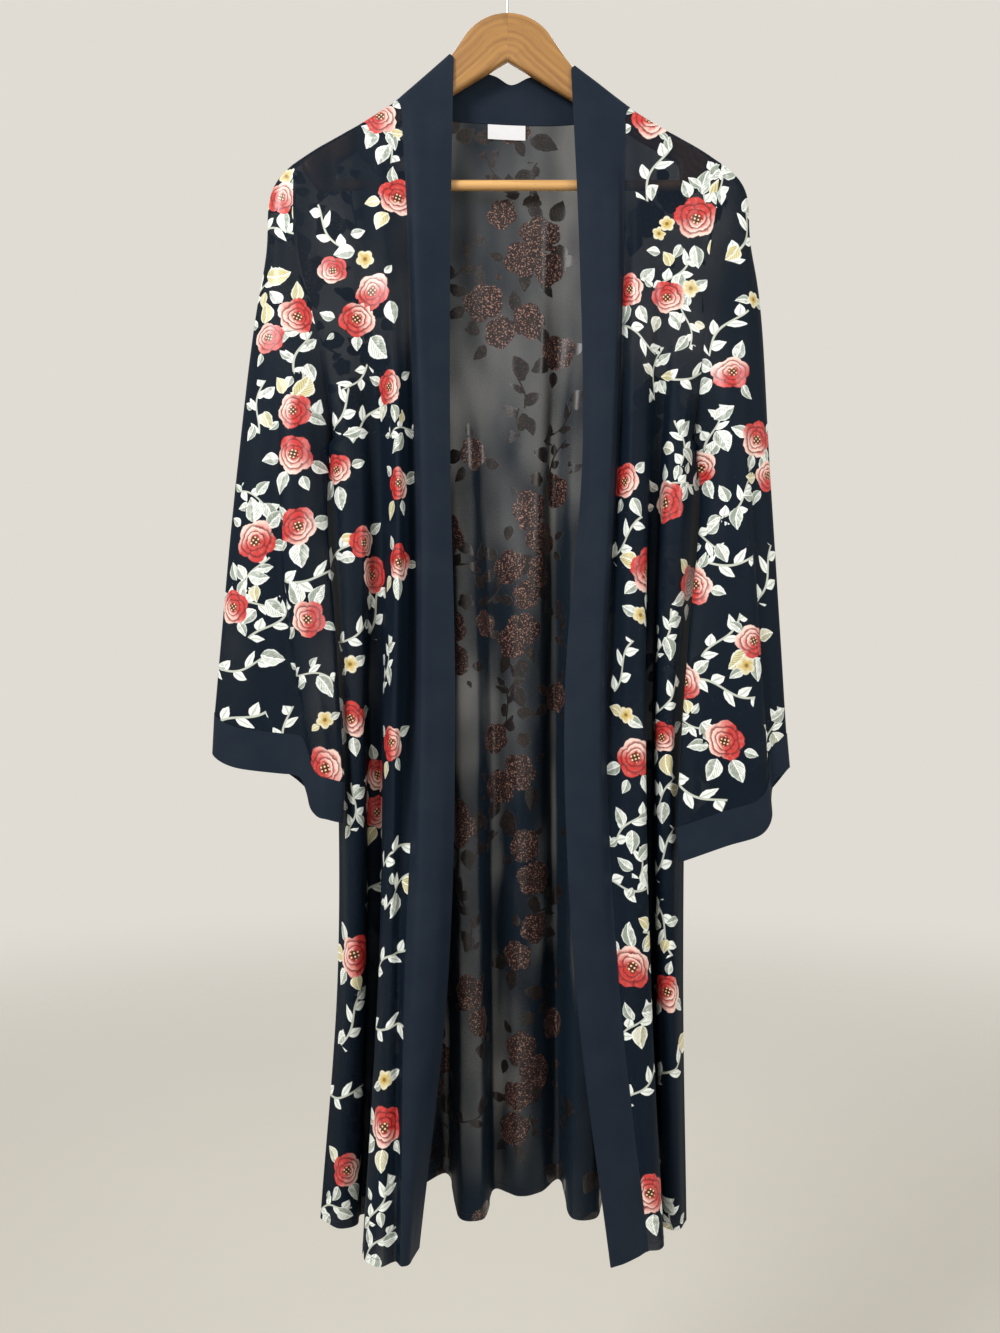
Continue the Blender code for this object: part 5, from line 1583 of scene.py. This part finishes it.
        self.sheets["back_panel"] = Sheet(
            "looks_back_panel", grid, normals, self.mesh_thick, spots=BACK_SPOTS, facing=-1.0, filled=True,
            missing=over_neck, over_arm=True, crease=0.3 * MM, seed=7)
        edge = self.neck_curve(NECK_EDGE, len(inside) - 1, 1)
        seam = np.concatenate([neck[:OVER_ROWS], on_seam, neck[-OVER_ROWS:]])
        band = np.array([lerp(seam, edge, share) for share in np.linspace(0, 1, 13)])
        self.sheets["neck_band"] = Sheet(
            "looks_neck_band", band, surface_normals(band), self.band_thick, seed=8)

    def armhole(self, side: str) -> tuple[Array, Array]:
        """Points and outward leans round an armhole, from the shoulder down the front and up the back."""
        rows = OVER_ROWS + UNDERARM_SHARE * FINE_ROWS + 1
        column, away = (0, -1.0) if side == "left" else (-1, 1.0)
        halves = []
        under_arm = unit(np.array([-away, 0.0, -0.3]))
        for name in ("front_" + side, "back_panel"):
            sheet = self.sheets[name]
            lean = sheet.normals[:rows, column].copy()
            lean[-1] = under_arm
            lean[-12:] = unit(lerp(lean[-12], under_arm, np.linspace(0, 1, 12)[:, None]))
            halves.append((sheet.grid[:rows, column], lean))
        (front, front_lean), (back, back_lean) = halves
        points = np.concatenate([front, back[:-1][::-1]])
        leans = np.concatenate([front_lean, back_lean[:-1][::-1]])
        return points, leans

    def build(self) -> None:
        """Makes the sheets and the armholes' rings."""
        self.front("left")
        self.front("right")
        self.back()
        for side in ("left", "right"):
            self.rings[side] = self.armhole(side)


@dataclass
class Sleeve:
    """One sleeve with its cuff: smooth paths run down from the armhole, and smooth loops join them."""

    side: str
    ring: tuple[Array, Array]
    lines: Sequence[Line]
    cuff: tuple[float, float, float]
    spots: Sequence[Spot]
    rows: int = 96
    thick: float = 0.6 * MM
    cuff_thick: float = 1.6 * MM

    def grid(self) -> Array:
        """The sleeve's grid: loops through the lines at three levels, and smooth paths down through them.

        The head swells outward by 256/27 t (1 - t)^3 down the upper arm times the squared cosine of the way
        round from the shoulder.
        """
        points, _ = self.ring
        at = [line.ring for line in self.lines]
        places = np.arange(RING_PARTS * RING_FINE + 1) / RING_FINE
        knots = [at[-2] - RING_PARTS, at[-1] - RING_PARTS] + at + [RING_PARTS, at[1] + RING_PARTS]
        sections = [points]
        for level in ("upper", "elbow", "cuff"):
            place = np.array([getattr(line, level) for line in self.lines]) * MM * np.array([1, 1, -1])
            sections.append(smooth(knots, np.concatenate([place[-2:], place, place[:2]]), places))
        stacked = np.array(sections)
        shares = np.linspace(0, 1, self.rows + 1)
        rows = smooth(SLEEVE_KNOTS, stacked.reshape(len(stacked), -1), shares)
        grid = rows.reshape(self.rows + 1, *stacked.shape[1:])
        down = np.clip(shares / SLEEVE_KNOTS[1], 0, 1)
        turn = np.clip(np.cos(places * 2 * math.pi / RING_PARTS), 0, 1)
        grid[..., 0] += SLEEVE_HEAD[self.side] * MM * np.outer(256 / 27 * down * (1 - down) ** 3, turn**2)
        return grid

    def sheets(self) -> tuple[Sheet, Sheet]:
        """The sleeve and its cuff."""
        grid = self.grid()
        edge = grid[-1] + np.array(self.cuff) * MM
        cuff = np.array([lerp(grid[-1], edge, share) for share in np.linspace(0, 1, 9)])
        whole = np.concatenate([grid, cuff[1:]])
        outward = 1.0 if self.side == "left" else -1.0
        normals = surface_normals(whole, closed=True) * outward
        normals[0] = self.ring[1]
        body = Sheet("looks_sleeve_" + self.side, grid, normals[: len(grid)], self.thick, closed=True,
                     spots=self.spots, filled=True, crease=0.3 * MM, seed=11 if self.side == "left" else 12)
        end = Sheet("looks_cuff_" + self.side, cuff, normals[len(grid) - 1 :], self.cuff_thick, closed=True)
        return body, end


@dataclass
class Label:
    """The bare woven label on the back, under the neck band."""

    seam: Array
    left: float = -20.0 * MM
    right: float = 18.0 * MM
    high: float = 15.0 * MM
    out: float = 1.3 * MM

    def build(self) -> bpy.types.Object:
        """A thin sheet on the seam's own curve, moved out to the front, a little bowed."""
        seam = self.seam[np.argsort(self.seam[:, 0])]
        across = np.linspace(self.left, self.right, 40)
        top = np.stack([np.interp(across, seam[:, 0], seam[:, k]) for k in range(3)], axis=1)
        share = np.linspace(0, 1, 18)[:, None, None]
        grid = top[None] + share * np.array([0.0, -0.6 * MM, -self.high])
        bow = np.sin(np.pi * share) * 0.4 * MM + self.out
        grid = grid - bow * np.array([0.0, 1.0, 0.0]) - np.array([0.0, 0.0, 0.8 * MM])
        sheet = Sheet("looks_label", grid, surface_normals(grid), 0.5 * MM)
        ribbon = Ribbon().material()
        return sheet.build([ribbon, ribbon], ["label"])


@dataclass
class Stitching:
    """A row of short stitches that lie on the cloth."""

    name: str
    path: Array
    out: Array
    thread: Material
    pitch: float = 3.2 * MM
    length: float = 2.3 * MM
    radius: float = 0.22 * MM
    sides: int = 6

    def build(self) -> bpy.types.Object:
        """Each stitch is a small six-sided bead that narrows toward its ends."""
        along = arc_lengths(self.path)
        starts = np.arange(0, along[-1] - self.length, self.pitch)
        share = np.array([0.0, 0.2, 0.5, 0.8, 1.0])
        at = starts[:, None] + share[None] * self.length
        line = np.stack([np.interp(at, along, self.path[:, k]) for k in range(3)], axis=2)
        up = unit(np.stack([np.interp(at, along, self.out[:, k]) for k in range(3)], axis=2))
        way = unit(line[:, -1:] - line[:, :1])
        side = unit(np.cross(way, up))
        turns = np.arange(self.sides) * 2 * math.pi / self.sides
        size = self.radius * np.array([0.35, 0.85, 1.0, 0.85, 0.35])
        ring = side[:, :, None] * np.cos(turns)[:, None] + up[:, :, None] * np.sin(turns)[:, None]
        points = line[:, :, None] + up[:, :, None] * self.radius * 0.6 + ring * size[:, None, None]
        first = (np.arange(len(starts)) * len(share) * self.sides)[:, None, None]
        last_ring = (len(share) - 1) * self.sides
        caps = np.array([range(self.sides)[::-1], range(last_ring, last_ring + self.sides)])
        sides = (ring_sides(len(share), self.sides)[None] + first).reshape(-1, 4)
        ends = (caps[None] + first).reshape(-1, self.sides)
        faces = [tuple(f) for f in sides] + [tuple(f) for f in ends]
        return add_piece(self.name, points.reshape(-1, 3), faces, [self.thread])


@dataclass
class Studio:
    """A pale floor far under the coat, soft lights and the camera."""

    floor_height: float = -1.75
    pale: Colour = (0.745, 0.715, 0.655)
    ground: Colour = (0.53, 0.51, 0.47)

    def floor(self) -> None:
        """A round floor that fades into the pale surroundings."""
        turns = np.linspace(0, 2 * math.pi, 96, endpoint=False)
        rim = np.stack([np.cos(turns) * 6.0, np.sin(turns) * 6.0, np.full(96, self.floor_height)], axis=1)
        mesh = bpy.data.meshes.new("floor")
        mesh.from_pydata(rim.tolist(), [], [tuple(range(96))])
        made, tree, shader = new_material("floor_paint")
        x, y, _ = parts_of(tree, own_place(tree))
        far = (x * x + y * y).math("SQRT")
        shade = speckle(tree, own_place(tree), 3.0, 2.0)
        dimmer = tuple(c * 0.97 for c in self.ground)
        tree.links.new(tint(tree, shade, self.ground, dimmer), shader.inputs["Base Color"])
        tree.links.new(far.rise(4.5, 1.2).socket, shader.inputs["Alpha"])
        shader.inputs["Roughness"].default_value = 0.9
        mesh.materials.append(made)
        floor = add_object("floor", mesh)

    def light(self, name: str, place: Sequence[float], size: float, power: float) -> None:
        """A soft square light that faces the coat's middle."""
        lamp = bpy.data.lights.new(name, "AREA")
        lamp.size = size
        lamp.energy = power
        made = add_object(name, lamp)
        way = np.array([0.0, 0.0, -0.65]) - np.array(place)
        tilt = math.atan2(way[2], math.hypot(way[0], way[1]))
        turn = math.atan2(way[1], way[0])
        made.location = place
        made.rotation_euler = (math.pi / 2 + tilt, 0.0, turn - math.pi / 2)

    def camera(self) -> None:
        """Straight in front, 1.3 m from the hanger's plane, level with the coat's middle."""
        lens = bpy.data.cameras.new("camera")
        lens.sensor_fit = "VERTICAL"
        lens.sensor_height = 24.0
        lens.lens = 12.0 / (0.6665 / 1.3)
        made = add_object("camera", lens)
        made.location = [c * MM for c in VIEW_EYE]
        made.rotation_euler = (math.pi / 2, 0.0, 0.0)
        bpy.context.scene.camera = made

    def build(self) -> None:
        """Floor, surroundings, lights and camera."""
        self.floor()
        world = bpy.data.worlds.new("pale_room")
        world.use_nodes = True
        world.node_tree.nodes["Background"].inputs[0].default_value = (*self.pale, 1.0)
        world.node_tree.nodes["Background"].inputs[1].default_value = 1.0
        bpy.context.scene.world = world
        self.light("key", (-1.5, -1.8, 0.7), 0.8, 62.0)
        self.light("fill", (1.7, -1.6, 0.1), 0.8, 20.0)
        self.light("behind", (0.2, 2.2, 0.8), 1.6, 26.0)
        self.camera()
        bpy.context.scene.view_settings.view_transform = "Standard"
        bpy.context.scene.cycles.transparent_max_bounces = 40


def stitch_hem(name: str, sheet: Sheet, thread: Material) -> None:
    """A row of stitches along a panel's hem on each side of the cloth.

    Args:
        name: the panel's node.
        sheet: the panel.
        thread: the thread's material.
    """
    line, out = sheet.grid[-2], sheet.normals[-2]
    for side, way in (("outside", out), ("inside", -out)):
        Stitching(f"looks_stitches_{name}_{side}", line + way * sheet.thick / 2, way, thread).build()


def dress(body: Body) -> None:
    """Builds every cloth piece of the body and its sleeves.

    Args:
        body: the coat's body, already worked out.
    """
    right_side = MeshCloth("printed_mesh").material()
    wrong_side = MeshCloth("printed_mesh_wrong_side", wrong_side=True).material()
    navy = PlainCloth().material()
    thread = Thread().material()
    sleeves = (
        Sleeve("left", body.rings["left"], LEFT_SLEEVE, (-2.0, 0.0, -40.0), LEFT_SLEEVE_SPOTS),
        Sleeve("right", body.rings["right"], RIGHT_SLEEVE, (3.0, 0.0, -34.0), RIGHT_SLEEVE_SPOTS),
    )
    for sleeve in sleeves:
        cloth, cuff = sleeve.sheets()
        body.sheets["sleeve_" + sleeve.side] = cloth
        body.sheets["cuff_" + sleeve.side] = cuff
    for name, sheet in body.sheets.items():
        plain = "band" in name or "cuff" in name
        made = sheet.build([navy, navy] if plain else [right_side, wrong_side], [name])
        width, length, area = sheet.cut()
        log.info("%s: %.3f m2, %.3f by %.3f m", name, area, width, length)
        if name in HEMMED:
            stitch_hem(name, sheet, thread)


def main() -> None:
    """Builds the hanger, the coat, its label and stitches, and the studio."""
    logging.basicConfig(level=logging.INFO, format="%(message)s")
    hanger = Hanger()
    hanger.build()
    body = Body(hanger)
    body.build()
    dress(body)
    seam = body.sheets["neck_band"].grid[0]
    Label(seam).build()
    Studio().build()


if __name__ == "__main__":
    main()
